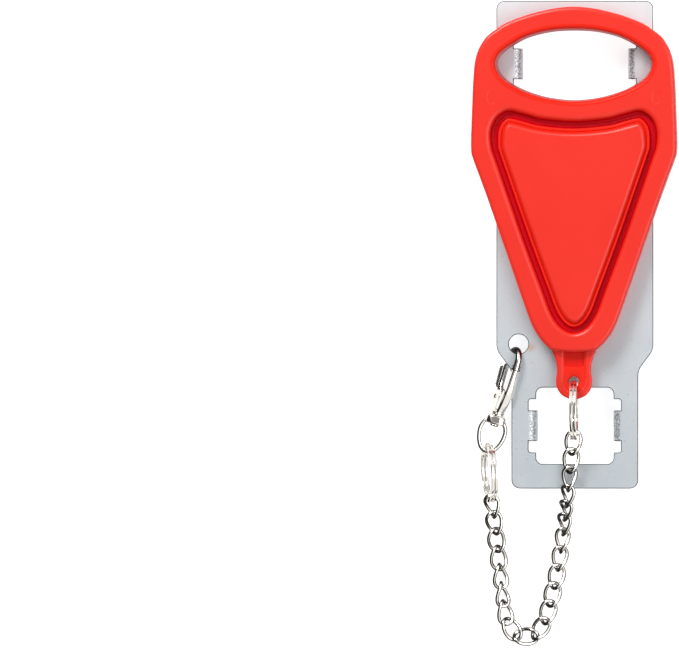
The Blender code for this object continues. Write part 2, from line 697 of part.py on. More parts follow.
def make_clasp():
    frame = clasp_frame()
    plane = flat_in_clasp(frame)
    spine_inner = HOOK_INNER_WIDTH / 2
    spine_outer = spine_inner + SPINE_WIDTH
    half = BODY_THICKNESS / 2
    gate_side = BODY_WIDTH / 2
    foot = FLANGE_DIAMETER / 2 - SPINE_WIDTH / 4
    body = slab_object("clasp_body", [rounded([
        (spine_inner + SPINE_WIDTH * 0.7, BODY_LENGTH, 0),
        (spine_outer, BODY_LENGTH * 0.75, SPINE_WIDTH),
        (foot, 0, 0),
        (-foot, 0, 0),
        (-gate_side, BODY_LENGTH * 0.45, SPINE_WIDTH),
        (-gate_side, BODY_LENGTH * 0.8, SPINE_WIDTH / 2),
    ])], -half, half, "nickel", plane)
    spine = slab_object("spine", [rounded([
        (spine_outer, COLLAR_FROM_FLANGE, 0),
        (spine_outer, BODY_LENGTH * 0.55, 0),
        (spine_inner * 0.4, BODY_LENGTH * 0.55, 0),
        (spine_inner * 0.4, BODY_LENGTH * 0.9, 0),
        (spine_inner, BODY_LENGTH * 1.2, SPINE_WIDTH / 2),
        (spine_inner, COLLAR_FROM_FLANGE, 0),
    ])], -SPINE_THICKNESS / 2, SPINE_THICKNESS / 2, "nickel", plane)
    boolean(body, spine, "UNION")

    curl = (HOOK_INNER_WIDTH + HOOK_WIRE) / 2
    top = HOOK_TOP - HOOK_WIRE / 2 - curl
    hook = [Vector((curl, COLLAR_FROM_FLANGE - COLLAR_LENGTH)), Vector((curl, top))]
    hook += arc(Vector((0, top)), curl, 0, 180, CORNER_STEPS * 2)[1:]
    hook.append(Vector((-curl, HOOK_TIP)))
    hook_points = [Vector((0, p.y, p.x)) for p in hook]
    boolean(body, baked(wire("hook", hook_points, HOOK_WIRE, "nickel", frame, sides=2)), "UNION")
    collar_at = frame @ Matrix.Translation((0, COLLAR_FROM_FLANGE - COLLAR_LENGTH / 2, curl)) @ ALONG_CLASP
    boolean(body, rod("collar", COLLAR_DIAMETER / 2, COLLAR_LENGTH, "nickel", collar_at), "UNION")
    flange_at = frame @ Matrix.Translation((0, -FLANGE_LENGTH / 2, 0)) @ ALONG_CLASP
    boolean(body, rod("flange", FLANGE_DIAMETER / 2, FLANGE_LENGTH, "nickel", flange_at), "UNION")

    slot = LEVER_THICKNESS / 2 + LEVER_CLEARANCE
    slot_low = SLOT_FROM_FLANGE
    slot_high = BODY_LENGTH * 1.2 + OVERRUN
    open_side = -gate_side - OVERRUN
    cut(body, [rounded([
        (spine_inner * 0.4, slot_low, 0), (open_side, slot_low, 0),
        (open_side, slot_high, 0), (-spine_inner * 0.4, slot_high, 0),
        (spine_inner * 0.4, BODY_LENGTH * 0.8, 0),
    ])], -slot, slot, plane)
    back = rounded([
        (spine_outer + OVERRUN, slot_low, 0), (0, slot_low, 0),
        (0, BODY_LENGTH * 0.8, 0), (spine_outer + OVERRUN, BODY_LENGTH * 0.8, 0),
    ])
    cut(body, [back], -slot, slot, plane)
    bore = RIVET_DIAMETER / 2 + PIN_CLEARANCE
    bore_at = frame @ Matrix.Translation((0, -FLANGE_LENGTH / 2 - OVERRUN, 0)) @ ALONG_CLASP
    cut(body, [circle((0, 0), bore)], 0, FLANGE_LENGTH / 2 + OVERRUN + RIVET_SEAT, bore_at)
    pin_hole = circle((-LEVER_PIVOT_OFFSET, LEVER_PIVOT_FROM_FLANGE), PIN_DIAMETER / 2 + PIN_CLEARANCE)
    cut(body, [pin_hole], -half - OVERRUN, half + OVERRUN, plane)
    smooth(body)


def make_lever():
    """The gate and its thumb tab in one lever, the rivet pin that it turns on, and the leaf spring behind it."""
    frame = clasp_frame()
    pivot = Vector((-LEVER_PIVOT_OFFSET, LEVER_PIVOT_FROM_FLANGE))
    plane = flat_in_clasp(frame) @ Matrix.Translation((pivot.x, pivot.y, 0))
    curl = (HOOK_INNER_WIDTH + HOOK_WIRE) / 2
    arm_x = -curl - pivot.x
    arm_top = HOOK_TIP - LEVER_CLEARANCE - pivot.y
    inner, outer = arm_x + LEVER_ARM_WIDTH / 2, arm_x - LEVER_ARM_WIDTH / 2
    tab = outer - LEVER_TAB_DEPTH
    root = PIN_DIAMETER / 2 + LEVER_ARM_WIDTH / 2
    rise = (arm_top - root) / 2
    outline = rounded([
        (root, -root, root * 0.9), (root, root, root * 0.8), (inner, root + rise * 0.5, 0),
        (inner, arm_top, 0), (outer, arm_top, LEVER_ARM_WIDTH / 4),
        (tab, arm_top - rise * 0.25, LEVER_ARM_WIDTH / 4), (tab + LEVER_TAB_DEPTH * 0.3, rise * 0.7, 0),
        (outer, root, root), (-root, -root, root * 0.9),
    ])
    hole = circle((0, 0), PIN_DIAMETER / 2 + PIN_CLEARANCE)
    half = LEVER_THICKNESS / 2
    smooth(slab_object("thumb_lever", [outline, hole], -half, half, "nickel", plane))
    reach = BODY_THICKNESS / 2
    pin = [circle((0, 0), PIN_DIAMETER / 2)]
    smooth(slab_object("lever_pin", pin, -reach, reach, "nickel", plane))

    low = SLOT_FROM_FLANGE + PIN_CLEARANCE
    seat = HOOK_INNER_WIDTH * 0.1
    leaf = [
        Vector((seat, low)), Vector((seat + SPRING_LENGTH * 0.10, low + SPRING_LENGTH * 0.4)),
        Vector((seat - SPRING_LENGTH * 0.05, low + SPRING_LENGTH * 0.8)),
        Vector((seat - SPRING_LENGTH * 0.30, low + SPRING_LENGTH)),
    ]
    leaf = flowing(leaf, CURVE_STEPS)
    back = [p + Vector((SPRING_THICKNESS, 0)) for p in reversed(leaf)]
    flat = flat_in_clasp(frame)
    smooth(slab_object("lever_spring", [leaf + back], -half, half, "spring_steel", flat))


def make_swivel():
    """The rivet in the clasp's foot, and the D-shaped eye that turns on it."""
    rivet_frame = clasp_frame() @ ALONG_CLASP
    eye_top = -FLANGE_LENGTH / 2 - EYE_CLEARANCE
    eye_low = eye_top - EYE_COLLAR_LENGTH
    head_top = eye_low - EYE_CLEARANCE
    profile = [(head_top - RIVET_HEAD_LENGTH, RIVET_HEAD_DIAMETER / 2), (head_top, RIVET_DIAMETER / 2)]
    rivet = rod(
        "swivel_rivet", profile[0][1], RIVET_HEAD_LENGTH, "nickel",
        rivet_frame @ Matrix.Translation((0, 0, profile[0][0])),
    )
    shank_length = RIVET_SEAT - PIN_CLEARANCE - head_top + RIVET_HEAD_LENGTH / 2
    shank_at = rivet_frame @ Matrix.Translation((0, 0, head_top - RIVET_HEAD_LENGTH / 2))
    boolean(rivet, rod("shank", profile[1][1], shank_length, "nickel", shank_at), "UNION")
    smooth(rivet)

    frame = eye_frame()
    eye_at = frame @ ALONG_CLASP @ Matrix.Translation((0, 0, eye_low))
    eye = rod("swivel_eye", EYE_COLLAR_DIAMETER / 2, EYE_COLLAR_LENGTH, "nickel", eye_at)
    wide = (EYE_WIDTH - EYE_WIRE) / 2
    deep = eye_top - EYE_LENGTH + EYE_WIRE / 2
    middle = (eye_top + eye_low) / 2
    depth = middle - deep
    half = [Vector((x * wide, middle - y * depth)) for x, y in EYE_SHARES]
    loop = flowing(half + [Vector((-p.x, p.y)) for p in reversed(half[:-1])], CURVE_STEPS)
    bow = baked(wire("bow", [Vector((p.x, p.y, 0)) for p in loop], EYE_WIRE, "nickel", frame, sides=2))
    boolean(eye, bow, "UNION")
    bore_at = eye_at @ Matrix.Translation((0, 0, -EYE_CLEARANCE))
    bore = [circle((0, 0), RIVET_DIAMETER / 2 + EYE_CLEARANCE)]
    cut(eye, bore, 0, EYE_COLLAR_LENGTH + 2 * EYE_CLEARANCE, bore_at)
    smooth(eye)


def eye_frame():
    """The eye lies level: it keeps the clasp's direction and not its roll."""
    return clasp_frame() @ Matrix.Rotation(math.radians(-CLASP_ROLL), 4, "Y")


def handle_ring_place():
    """The ring through the tab stands in the lower window and leans on the window's upper edge."""
    ring_y = TAB_HOLE_Y - HANDLE_RING_FROM_HOLE
    away = RING_RADIUS + RING_EDGE_CLEARANCE
    rise = math.sqrt(away**2 - (LOWER_WINDOW_TOP - ring_y) ** 2)
    return Vector((0, ring_y, PLATE_TOP + rise))


def clasp_ring_place():
    """The ring hangs in the bow of the eye: its inner side meets the inner side of the bow."""
    bow_inner = -FLANGE_LENGTH / 2 - EYE_CLEARANCE - EYE_LENGTH + EYE_WIRE
    crossing = eye_frame() @ Vector((0, bow_inner + EYE_RING_GAP, 0))
    inner_radius = RING_RADIUS - RING_WIRE_RADIAL
    drop = CLASP_RING_HEIGHT - crossing.z
    reach = math.sqrt(inner_radius**2 - drop**2)
    lean = math.radians(RING_LEAN)
    return Vector((crossing.x + math.sin(lean) * reach, crossing.y - math.cos(lean) * reach, CLASP_RING_HEIGHT))


def main():
    clear_scene()
    make_plate()
    make_handle()
    handle_ring = handle_ring_place()
    ring = make_split_ring("split_ring_handle", handle_ring, 0, 0)
    set_origin(ring, (0, TAB_HOLE_Y, HANDLE_BOTTOM + TAB_RISE + TAB_THICKNESS / 2))
    clasp_ring = clasp_ring_place()
    ring = make_split_ring("split_ring_clasp", clasp_ring, RING_LEAN, RING_ROLL)
    hook_reach = RING_RADIUS - RING_WIRE_RADIAL - RING_LINK_GAP + LINK_GAP / 2
    fall = math.radians(CHAIN_FALL)
    start = handle_ring - Vector((0, math.cos(fall), math.sin(fall))) * hook_reach
    lean = math.radians(RING_LEAN)
    end = clasp_ring + Vector((math.sin(lean) * hook_reach, -math.cos(lean) * hook_reach, 0))
    make_chain(start, end)
    set_origin(ring, end)
    make_clasp()
    make_lever()
    make_swivel()
    hook_apex = clasp_frame() @ Vector((0, HOOK_TOP - HOOK_WIRE / 2, 0))
    for name in ("clasp_body", "swivel_rivet", "lever_pin", "lever_spring"):
        set_origin(bpy.data.objects[name], hook_apex)


main()
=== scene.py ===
"""Portable door lock: the dressed model, its studio and its camera."""
import json
import math

import bmesh
import bpy
from mathutils import Matrix, Vector


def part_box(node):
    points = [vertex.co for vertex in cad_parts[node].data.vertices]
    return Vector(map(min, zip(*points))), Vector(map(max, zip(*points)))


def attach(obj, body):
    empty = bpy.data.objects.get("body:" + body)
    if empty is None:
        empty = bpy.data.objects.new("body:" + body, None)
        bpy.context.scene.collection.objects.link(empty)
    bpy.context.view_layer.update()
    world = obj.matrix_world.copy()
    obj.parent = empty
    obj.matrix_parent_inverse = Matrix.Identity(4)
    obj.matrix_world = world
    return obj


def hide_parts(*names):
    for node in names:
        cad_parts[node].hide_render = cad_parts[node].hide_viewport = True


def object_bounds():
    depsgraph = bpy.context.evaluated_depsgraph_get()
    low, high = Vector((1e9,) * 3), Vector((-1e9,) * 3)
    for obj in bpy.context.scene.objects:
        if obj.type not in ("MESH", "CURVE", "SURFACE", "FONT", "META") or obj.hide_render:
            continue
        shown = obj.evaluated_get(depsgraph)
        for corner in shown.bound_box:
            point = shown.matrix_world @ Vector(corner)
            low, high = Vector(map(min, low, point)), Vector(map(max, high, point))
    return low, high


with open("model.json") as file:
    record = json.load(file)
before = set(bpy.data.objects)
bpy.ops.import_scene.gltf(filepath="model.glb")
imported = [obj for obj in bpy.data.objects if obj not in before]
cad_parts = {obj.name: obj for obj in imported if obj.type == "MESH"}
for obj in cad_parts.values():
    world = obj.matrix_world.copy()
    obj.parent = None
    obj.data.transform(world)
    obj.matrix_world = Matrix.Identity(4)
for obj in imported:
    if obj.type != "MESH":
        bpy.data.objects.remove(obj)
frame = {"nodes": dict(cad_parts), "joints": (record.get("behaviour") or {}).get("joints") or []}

cad_box = [list(corner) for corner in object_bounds()]

# Sizes are in metres and angles in degrees, unless a comment says otherwise

# Plate
PLATE_LENGTH = 0.150
PLATE_WIDTH = 0.0483
PLATE_LOWER_WIDTH = 0.0390
PLATE_THICKNESS = 0.0015
PLATE_EDGE_ROUND = 0.00025
SHOULDER_FROM_CENTRE = 0.0324
SHOULDER_DROP = 0.0062
PLATE_TOP_CORNER = 0.0023
PLATE_SHOULDER_CORNER = 0.0055
PLATE_BOTTOM_CORNER = 0.0025
CLASP_HOLE = (-0.0173, -0.03055)
CLASP_HOLE_DIAMETER = 0.0060
# A painted red-gold reflection on the plate beside the clasp hole: its centre and size
RED_REFLECTION_SPOT = (-0.0137, -0.0315)
RED_REFLECTION_SIZE = (0.0023, 0.0021)
# Where the plate starts to pale towards its wide end: painted light
PAINTED_LIGHT_FROM = -0.06
PLATE_SMOOTH_BELOW = 50.0

# Windows (centre, width and height of each) and claws
WINDOWS = [(0.0557, 0.0330, 0.0264), (-0.0557, 0.0239, 0.0235)]
WINDOW_CORNER = 0.0020
CLAW_LENGTH = 0.0094
CLAW_REACH = 0.0080
CLAW_INSET = 0.0001
CLAW_BEND_RADIUS = 0.0009
CLAW_TIP_CORNER = 0.0015
RELIEF_WIDTH = 0.0035
RELIEF_CORNER = 0.0008

# Handle
HANDLE_BOTTOM = 0.0018
HANDLE_FACE = 0.0098
HANDLE_TOP = 0.0731
HANDLE_LENGTH = 0.1207
HANDLE_WIDTH = 0.0632
HANDLE_EDGE_ROUND = 0.0011
FINGER_HOLE_WIDTH = 0.0484
FINGER_HOLE_HEIGHT = 0.0225
FINGER_HOLE_FROM_TOP = 0.0067
HOLE_DRAFT = 0.0007
FLAT_SUPPORT = 0.0003
GROOVE_WIDTH = 0.0513
GROOVE_LENGTH = 0.0684
GROOVE_FROM_TOP = 0.0319
GROOVE_EASE_BELOW = 0.0016
GROOVE_STRETCH = 1.25
GROOVE_STRETCH_SPAN = 0.3
# Heights below the handle's face between which its red is darkened with painted shade, in the
# groove and the finger hole
PAINTED_SHADE_FROM = 0.0012
PAINTED_SHADE_TO = 0.0021
EJECTOR_MARK = (0.02535, 0.0453)
EJECTOR_SIZE = (0.0014, 0.00235)

# The handle's tab
TAB_BOTTOM = 0.0043
TAB_TOP = 0.0073
TAB_EDGE_ROUND = 0.0006
TAB_STEP_FROM_END = 0.0146
TAB_STEP_BULGE = 0.0034
TAB_STEP_CORNER = 0.0004
TAB_UNDER_BODY = 0.0015
TAB_END_INSET = 0.0001
TAB_END_DRAWN = 0.8
TAB_HOLE_FROM_END = 0.0055
TAB_HOLE_DIAMETER = 0.0032
TAB_BORE_DIAMETER = 0.0062
TAB_BORE_DEPTH = 0.0009
RECESS_WIDTH = 0.0071
RECESS_DEPTH = 0.0005
RECESS_FROM_END = 0.0012
POCKET_LENGTH = 0.0046
POCKET_DEPTH = 0.0011
POCKET_WALL = 0.0006
POCKET_CORNER = 0.0008

# Split rings
RING_DIAMETER = 0.0184
RING_WIRE_RADIAL = 0.0012
RING_WIRE_WIDTH = 0.0010
RING_COIL_GAP = 0.00012
RING_EDGE_ROUND = 0.0002
RING_END_TURN = 20.0
RING_CROSS_TURN = 16.0
CLASP_RING_LEAN = 4.0
CLASP_RING_ROLL = 13.0
COIL_STEPS = 70
CROSS_STEPS = 6

# Chain
LINK_LENGTH = 0.00845
LINK_WIDTH = 0.0058
LINK_WIRE = 0.0011
LINK_TWIST = 84.0
LINK_SQUARENESS = 2.35
LINK_ROLLS = [14, 20, 42, 48, 52, 48, 42, 30, 14, 8, 16, 18, 6, 12, 38, 55, 44, 22, 4, -16, -36]

# Clasp
HOOK_OUTWARDS = 0.0005
HOOK_BELOW_CENTRE = 0.00104
CLASP_HEIGHT = 0.0006
HOOK_APEX = 0.02045
CLASP_LEAN = 16.5
CLASP_ROLL = 28.0
HOOK_WIRE = 0.0020
HOOK_CURL = 0.00345
HOOK_STRAIGHT_TO = 0.0162
HOOK_TIP = 0.0150
HOOK_TIP_SHARES = [1.0, 0.9, 0.7]
EYE_WIRE = 0.0012
PANEL_LINE = 0.00026
RIB_WIRE = 0.00034

# Camera: the frame's centre and width where the lock lies, and how far it leans to the right
LENS = 800.0
SENSOR = 36.0
FRAME_CENTRE = (-0.0723, -0.0270)
FRAME_WIDTH = 0.2089
CAMERA_LEAN = 3.4
CAMERA_CLIP = (0.05, 20.0)

# Studio: what the floor and the sky give to each kind of ray, and where the sky is dark
FLOOR_SHOWN = 0.7
FLOOR_MIRRORED = 0.6
PLAIN_LEVEL = 0.42
FLAG_TOWARDS = (-0.93, -0.37, 0.0)
FLAG_LEVEL = 0.03
SHADE_TOWARDS = (0.0, 0.14, 0.0)
SHADE_SCALE = (3.0, 2.2, 0.0)
SHADE_LEVEL = 0.30
FLOOR_RADIUS = 2.2
FLOOR_GAP = 0.0001
LAMPS = [("key", (-0.40, 0.80, 0.85), 0.45, 11.5), ("fill", (0.7, -0.1, 1.0), 0.9, 5.0)]

# Outlines as shares of half the width and of the length, from the top down
HANDLE_SHARES = [
    (0.0, 0.0), (0.20, 0.0048), (0.40, 0.0168), (0.51, 0.0258), (0.610, 0.0355), (0.692, 0.0458),
    (0.763, 0.0584), (0.820, 0.0695), (0.868, 0.082), (0.928, 0.109), (0.964, 0.142),
    (0.981, 0.195), (0.991, 0.260), (1.0, 0.325), (1.0, 0.364), (0.985, 0.3845), (0.910, 0.438),
    (0.835, 0.492), (0.729, 0.572), (0.623, 0.652), (0.500, 0.745), (0.428, 0.797), (0.377, 0.826),
    (0.300, 0.854), (0.226, 0.873), (0.182, 0.897), (0.165, 0.925), (0.176, 0.951), (0.163, 0.972),
    (0.105, 0.991), (0.0, 1.0),
]
FINGER_SHARES = [
    (0.0, 0.0), (0.27, 0.016), (0.52, 0.073), (0.68, 0.142), (0.83, 0.238), (0.945, 0.335),
    (0.995, 0.430), (1.0, 0.490), (0.980, 0.580), (0.915, 0.680), (0.785, 0.785), (0.585, 0.885),
    (0.32, 0.965), (0.0, 1.0),
]
GROOVE_SHARES = [
    (0.0, 0.047), (0.386, 0.035), (0.581, 0.016), (0.764, 0.0), (0.862, 0.0105), (0.943, 0.040),
    (0.990, 0.080), (1.0, 0.118), (0.985, 0.170), (0.938, 0.2213), (0.789, 0.3835), (0.587, 0.600),
    (0.372, 0.816), (0.267, 0.918), (0.148, 0.978), (0.0, 1.0),
]
EYE_SHARES = [
    (0.45, 0.0), (0.84, 0.14), (1.0, 0.36), (0.90, 0.64), (0.62, 0.88), (0.30, 0.985), (0.0, 1.0),
]
OUTLINE_STEPS = 8
ROUND_STEPS = 5
SPINE_STEPS = 4
CIRCLE_STEPS = 48
EASE_PASSES = 14
MERGE_WITHIN = 0.000001
SMOOTH_BELOW = 35.0
ROUND_SMOOTH_BELOW = 40.0

# The groove's section in millimetres, as (inset, height) from its outline and the handle's face:
# single points, and the corners (start, corner, end) that it rounds
GROOVE_RIM = (-1.8, 0)
GROOVE_WALL = (0.08, -1.9)
GROOVE_PAD = (4.3, 0)
GROOVE_CORNERS = [
    ((-1.4, 0), (-0.1, 0), (0.0, -1.2)), ((0.12, -2.3), (0.2, -2.9), (0.7, -2.9)),
    ((1.3, -2.9), (1.75, -2.9), (1.85, -2.2)), ((1.9, -1.7), (1.92, -1.3), (2.15, -1.3)),
    ((2.45, -1.3), (2.65, -1.3), (2.75, -1.6)), ((2.85, -1.5), (2.95, 0), (4.1, 0)),
]

# The clasp's forms in millimetres, on its own axes
HOOK_ROOT = 13.2
HOOK_TIP_BACK = (0.3, 0.1, 0.0)
EYE_HALF_WIDTH = 3.95
EYE_LENGTH = 10.0
EYE_FROM = -2.8
PANEL_SIDE = -1.40
ARM_HALF = 0.6
STRIP_HALF = 0.95
RIBS = 11
RIB_FIRST = 7.9
RIB_PITCH = 0.53
RIB_ROOT = -4.2
RIB_EDGE = -5.55
RIB_SPREAD = 0.5
RIB_CORNER = (0.2, 0.25)
RIB_PROUD = 0.02
CHEEK_EDGE = 0.2
ARM_EDGE = 0.25
STRIP_EDGE = 0.3
PIN_PLACE = (0, 4.2, -2.0)
# Sections: y, z of the centre, half depth, half thickness, squareness
SPINE_SECTIONS = [
    (13.6, 3.45, 1.02, 1.02, 2.0), (11.6, 3.42, 1.10, 1.12, 2.2), (9.2, 3.36, 1.22, 1.24, 2.5),
    (7.4, 3.10, 1.50, 1.36, 3.0), (6.0, 2.70, 1.80, 1.46, 3.6), (4.4, 2.15, 2.05, 1.50, 4.2),
    (2.4, 1.40, 2.10, 1.50, 4.2), (0.6, 0.65, 1.90, 1.48, 3.8), (-0.5, 0.15, 1.80, 1.45, 3.2),
]
BARREL_SECTIONS = [
    (-1.45, 0, 1.2, 1.9, 2.2), (-1.52, 0, 1.55, 2.5, 2.4), (-1.7, 0, 1.68, 2.80, 2.6),
    (-2.1, 0, 1.74, 2.95, 2.8), (-3.6, 0, 1.74, 3.05, 2.8), (-4.0, 0, 1.66, 3.05, 2.6),
    (-4.18, 0, 1.5, 2.9, 2.4), (-4.25, 0, 1.2, 2.6, 2.2),
]
# Turned profiles: y, radius
COLLAR_PROFILE = [
    (15.0, 0.95), (14.95, 1.20), (14.85, 1.30), (14.65, 1.31), (14.55, 1.22), (14.5, 1.06),
    (14.2, 1.06), (14.15, 1.26), (14.05, 1.40), (13.7, 1.42), (13.55, 1.32), (13.45, 1.12),
    (13.4, 0.95),
]
FLANGE_PROFILE = [
    (-0.20, 1.3), (-0.25, 1.95), (-0.35, 2.12), (-0.65, 2.14), (-0.75, 2.02), (-0.8, 1.86),
    (-0.88, 1.86), (-0.92, 2.05), (-1.0, 2.15), (-1.2, 2.15), (-1.28, 2.05), (-1.3, 1.3),
]
PIN_PROFILE = [
    (1.78, 0.2), (1.76, 0.45), (1.66, 0.62), (1.52, 0.66), (1.5, 0.5),
    (-1.5, 0.5), (-1.52, 0.66), (-1.66, 0.62), (-1.76, 0.45), (-1.78, 0.2),
]
RIVET_PROFILE = [
    (0.9, 0.6), (0.85, 0.8), (-4.2, 0.8), (-4.3, 1.3), (-4.5, 1.35), (-4.75, 1.1), (-4.9, 0.6),
]
# Outlines: z, y, corner radius
CHEEK_CORNERS = [
    (-3.3, 6.3, 1.5), (0.6, 6.5, 0.6), (1.0, -0.3, 0.3), (-1.7, -0.3, 0.5), (-3.8, 3.0, 1.4),
]
CHEEK_SPANS = [("near_cheek", 0.9, 1.52), ("far_cheek", -1.52, -0.9)]
PANEL_CORNERS = [(1.95, 7.0, 0.5), (3.85, 6.6, 0.5), (2.3, 0.4, 0.5), (0.4, 0.6, 0.5)]
ARM_CORNERS = [
    (-4.25, 14.7, 0.4), (-2.65, 14.7, 0.2), (-2.65, 7.8, 0), (-0.7, 5.5, 1.0), (-0.7, 2.9, 1.1),
    (-3.3, 2.9, 1.1), (-4.25, 5.5, 0.8),
]
STRIP_CORNERS = [(-3.9, 6.6, 0.4), (-5.5, 7.4, 0.9), (-6.05, 13.5, 0.6), (-4.0, 14.0, 0.3)]


# Shapes

def fine(bm, name, smooth_below=SMOOTH_BELOW):
    """Turn a finished bmesh into a smooth-shaded piece with its sharp edges kept."""
    bmesh.ops.remove_doubles(bm, verts=bm.verts, dist=MERGE_WITHIN)
    bmesh.ops.recalc_face_normals(bm, faces=bm.faces)
    mesh = bpy.data.meshes.new(name)
    bm.to_mesh(mesh)
    bm.free()
    mesh.shade_smooth()
    mesh.set_sharp_from_angle(angle=math.radians(smooth_below))
    piece = bpy.data.objects.new(name, mesh)
    bpy.context.scene.collection.objects.link(piece)
    return piece


def dress(piece, materials, body, *nodes):
    """Give a piece its materials, let it ride on a body, and let it stand for CAD nodes."""
    for material in materials:
        piece.data.materials.append(material)
    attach(piece, body)
    if nodes:
        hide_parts(*nodes)


def arc(centre, radius, start, end, steps):
    """Points of an arc in the plane, angles in degrees, both ends included."""
    turns = [math.radians(start + (end - start) * i / steps) for i in range(steps + 1)]
    return [Vector((centre[0] + radius * math.cos(t), centre[1] + radius * math.sin(t)))
            for t in turns]


def rounded(corners):
    """A closed outline whose corners (x, y, radius) are rounded with arcs."""
    points = []
    count = len(corners)
    for i, (x, y, radius) in enumerate(corners):
        here = Vector((x, y))
        if radius == 0:
            points.append(here)
            continue
        back = (Vector(corners[i - 1][:2]) - here).normalized()
        ahead = (Vector(corners[(i + 1) % count][:2]) - here).normalized()
        half = back.angle(ahead) / 2
        centre = here + (back + ahead).normalized() * (radius / math.sin(half))
        first = here + back * (radius / math.tan(half)) - centre
        start = math.degrees(math.atan2(first.y, first.x))
        sweep = math.copysign(180.0 - math.degrees(2 * half), -back.cross(ahead))
        points += arc(centre, radius, start, start + sweep, ROUND_STEPS)
    return points


def bezier(a, b, c, t):
    """A point of the curve from a to c that b pulls towards itself."""
    return a * (1 - t) ** 2 + b * 2 * t * (1 - t) + c * t**2


def between(p0, p1, p2, p3, t):
    """A point of the smooth curve through four points, between the middle two."""
    return 0.5 * (2 * p1 + (p2 - p0) * t + (2 * p0 - 5 * p1 + 4 * p2 - p3) * t**2
                  + (3 * p1 - p0 - 3 * p2 + p3) * t**3)


def flowing(points, steps):
    """A smooth closed curve through the points, with the same number of steps in each span."""
    count = len(points)
    spans = [[points[(i + k) % count] for k in (-1, 0, 1, 2)] for i in range(count)]
    return [between(*span, step / steps) for span in spans for step in range(steps)]


def through(points, steps):
    """A smooth open curve through the points; a point may carry more numbers than a place."""
    ends = [points[0]] + points + [points[-1]]
    spans = zip(ends, ends[1:], ends[2:], ends[3:])
    return [between(*span, step / steps) for span in spans for step in range(steps)] + [points[-1]]


def mirrored_outline(shares, width, length, top):
    """A closed outline from the shares of its right half, clockwise from the top."""
    half = [Vector((x * width / 2, top - y * length)) for x, y in shares]
    return flowing(half + [Vector((-p.x, p.y)) for p in reversed(half[1:-1])], OUTLINE_STEPS)


def inward(outline):
    """The inward unit normal at each point of a clockwise outline."""
    count = len(outline)
    along = [(outline[(i + 1) % count] - outline[i - 1]).normalized() for i in range(count)]
    return [Vector((a.y, -a.x)) for a in along]


def loop(bm, places):
    """A closed ring of vertices and edges."""
    verts = [bm.verts.new(place) for place in places]
    edges = [bm.edges.new(pair) for pair in zip(verts, verts[1:] + verts[:1])]
    return verts, edges


def grow(bm, verts, edges, places):
    """Extrude a ring of edges and move the new ring to its places."""
    grown = bmesh.ops.extrude_edge_only(bm, edges=edges)["geom"]
    fresh = {g for g in grown if isinstance(g, bmesh.types.BMVert)}
    old = set(verts)
    partner = {}
    for vert in fresh:
        beside = [edge.other_vert(vert) for edge in vert.link_edges]
        partner[next(other for other in beside if other in old)] = vert
    ring = [partner[vert] for vert in verts]
    for vert, place in zip(ring, places):
        vert.co = place
    return ring, [g for g in grown if isinstance(g, bmesh.types.BMEdge) and set(g.verts) <= fresh]


def relaxed(places, passes):
    """Ease a closed ring towards its points' neighbours, so that a deep inset stays round."""
    count = len(places)
    for _ in range(passes):
        places = [(places[i - 1] + 2 * place + places[(i + 1) % count]) / 4
                  for i, place in enumerate(places)]
    return places


def walk(bm, outline, path, stretch=None, ease_below=None):
    """Sweep an outline along a path of (inset, height) steps; give its first and last edges.

    Insets are stretched point by point, and those past ease_below are eased.
    """
    normals = inward(outline)
    stretch = stretch or [1.0] * len(outline)
    verts = edges = first = None
    for inset, height in path:
        steps = [inset * (s if inset > 0 else 1.0) for s in stretch]
        places = [p + n * step for p, n, step in zip(outline, normals, steps)]
        if ease_below and inset > ease_below:
            places = relaxed(places, round(EASE_PASSES * (inset / ease_below - 1)))
        places = [(*p, height) for p in places]
        if verts is None:
            verts, edges = loop(bm, places)
            first = edges
        else:
            verts, edges = grow(bm, verts, edges, places)
    return first, edges


def bend(start, corner, end, steps=ROUND_STEPS):
    """A rounded corner of a path, as a quarter of an ellipse from start to end."""
    points = []
    for i in range(steps + 1):
        turn = math.pi / 2 * i / steps
        points.append(tuple(
            c + (s - c) * (1 - math.sin(turn)) + (e - c) * (1 - math.cos(turn))
            for s, c, e in zip(start, corner, end)
        ))
    return points


def fill(bm, *rings):
    """Close a flat region between rings of edges."""
    bmesh.ops.triangle_fill(bm, use_beauty=True, edges=[e for ring in rings for e in ring])


# Materials

def colour(code):
    """An sRGB hex colour as the linear values that shaders take."""
    parts = [int(code[i:i + 2], 16) / 255 for i in (1, 3, 5)]
    return [c / 12.92 if c <= 0.04045 else ((c + 0.055) / 1.055) ** 2.4 for c in parts] + [1.0]


def per_metre(millimetres):
    """The scale of a pattern whose features repeat at this many millimetres."""
    return 1000.0 / millimetres


def add(tree, kind, inputs=None, **settings):
    """Add a node with its settings; an input takes a value or another node's output."""
    made = tree.nodes.new(kind)
    for name, value in settings.items():
        setattr(made, name, value)
    for name, value in (inputs or {}).items():
        if isinstance(value, bpy.types.NodeSocket):
            tree.links.new(value, made.inputs[name])
        else:
            made.inputs[name].default_value = value
    return made


def noise(tree, place, millimetres, detail=2.0, roughness=0.5):
    """Cloudy noise whose features measure this many millimetres."""
    return add(tree, "ShaderNodeTexNoise", {
        "Vector": place, "Scale": per_metre(millimetres), "Detail": detail, "Roughness": roughness,
    }).outputs["Fac"]


def mixed(tree, factor, first, second):
    """A blend of two colours, each an sRGB hex code or another node's output."""
    first, second = (colour(c) if isinstance(c, str) else c for c in (first, second))
    return add(tree, "ShaderNodeMix", {
        "Factor": factor, "A": first, "B": second,
    }, data_type="RGBA").outputs["Result"]


def ramp(tree, value, low, high, start=0.0, end=1.0, kind="LINEAR"):
    """A value spread from low..high to start..end, and held outside."""
    return add(tree, "ShaderNodeMapRange", {
        "Value": value, "From Min": low, "From Max": high, "To Min": start, "To Max": end,
    }, interpolation_type=kind).outputs["Result"]


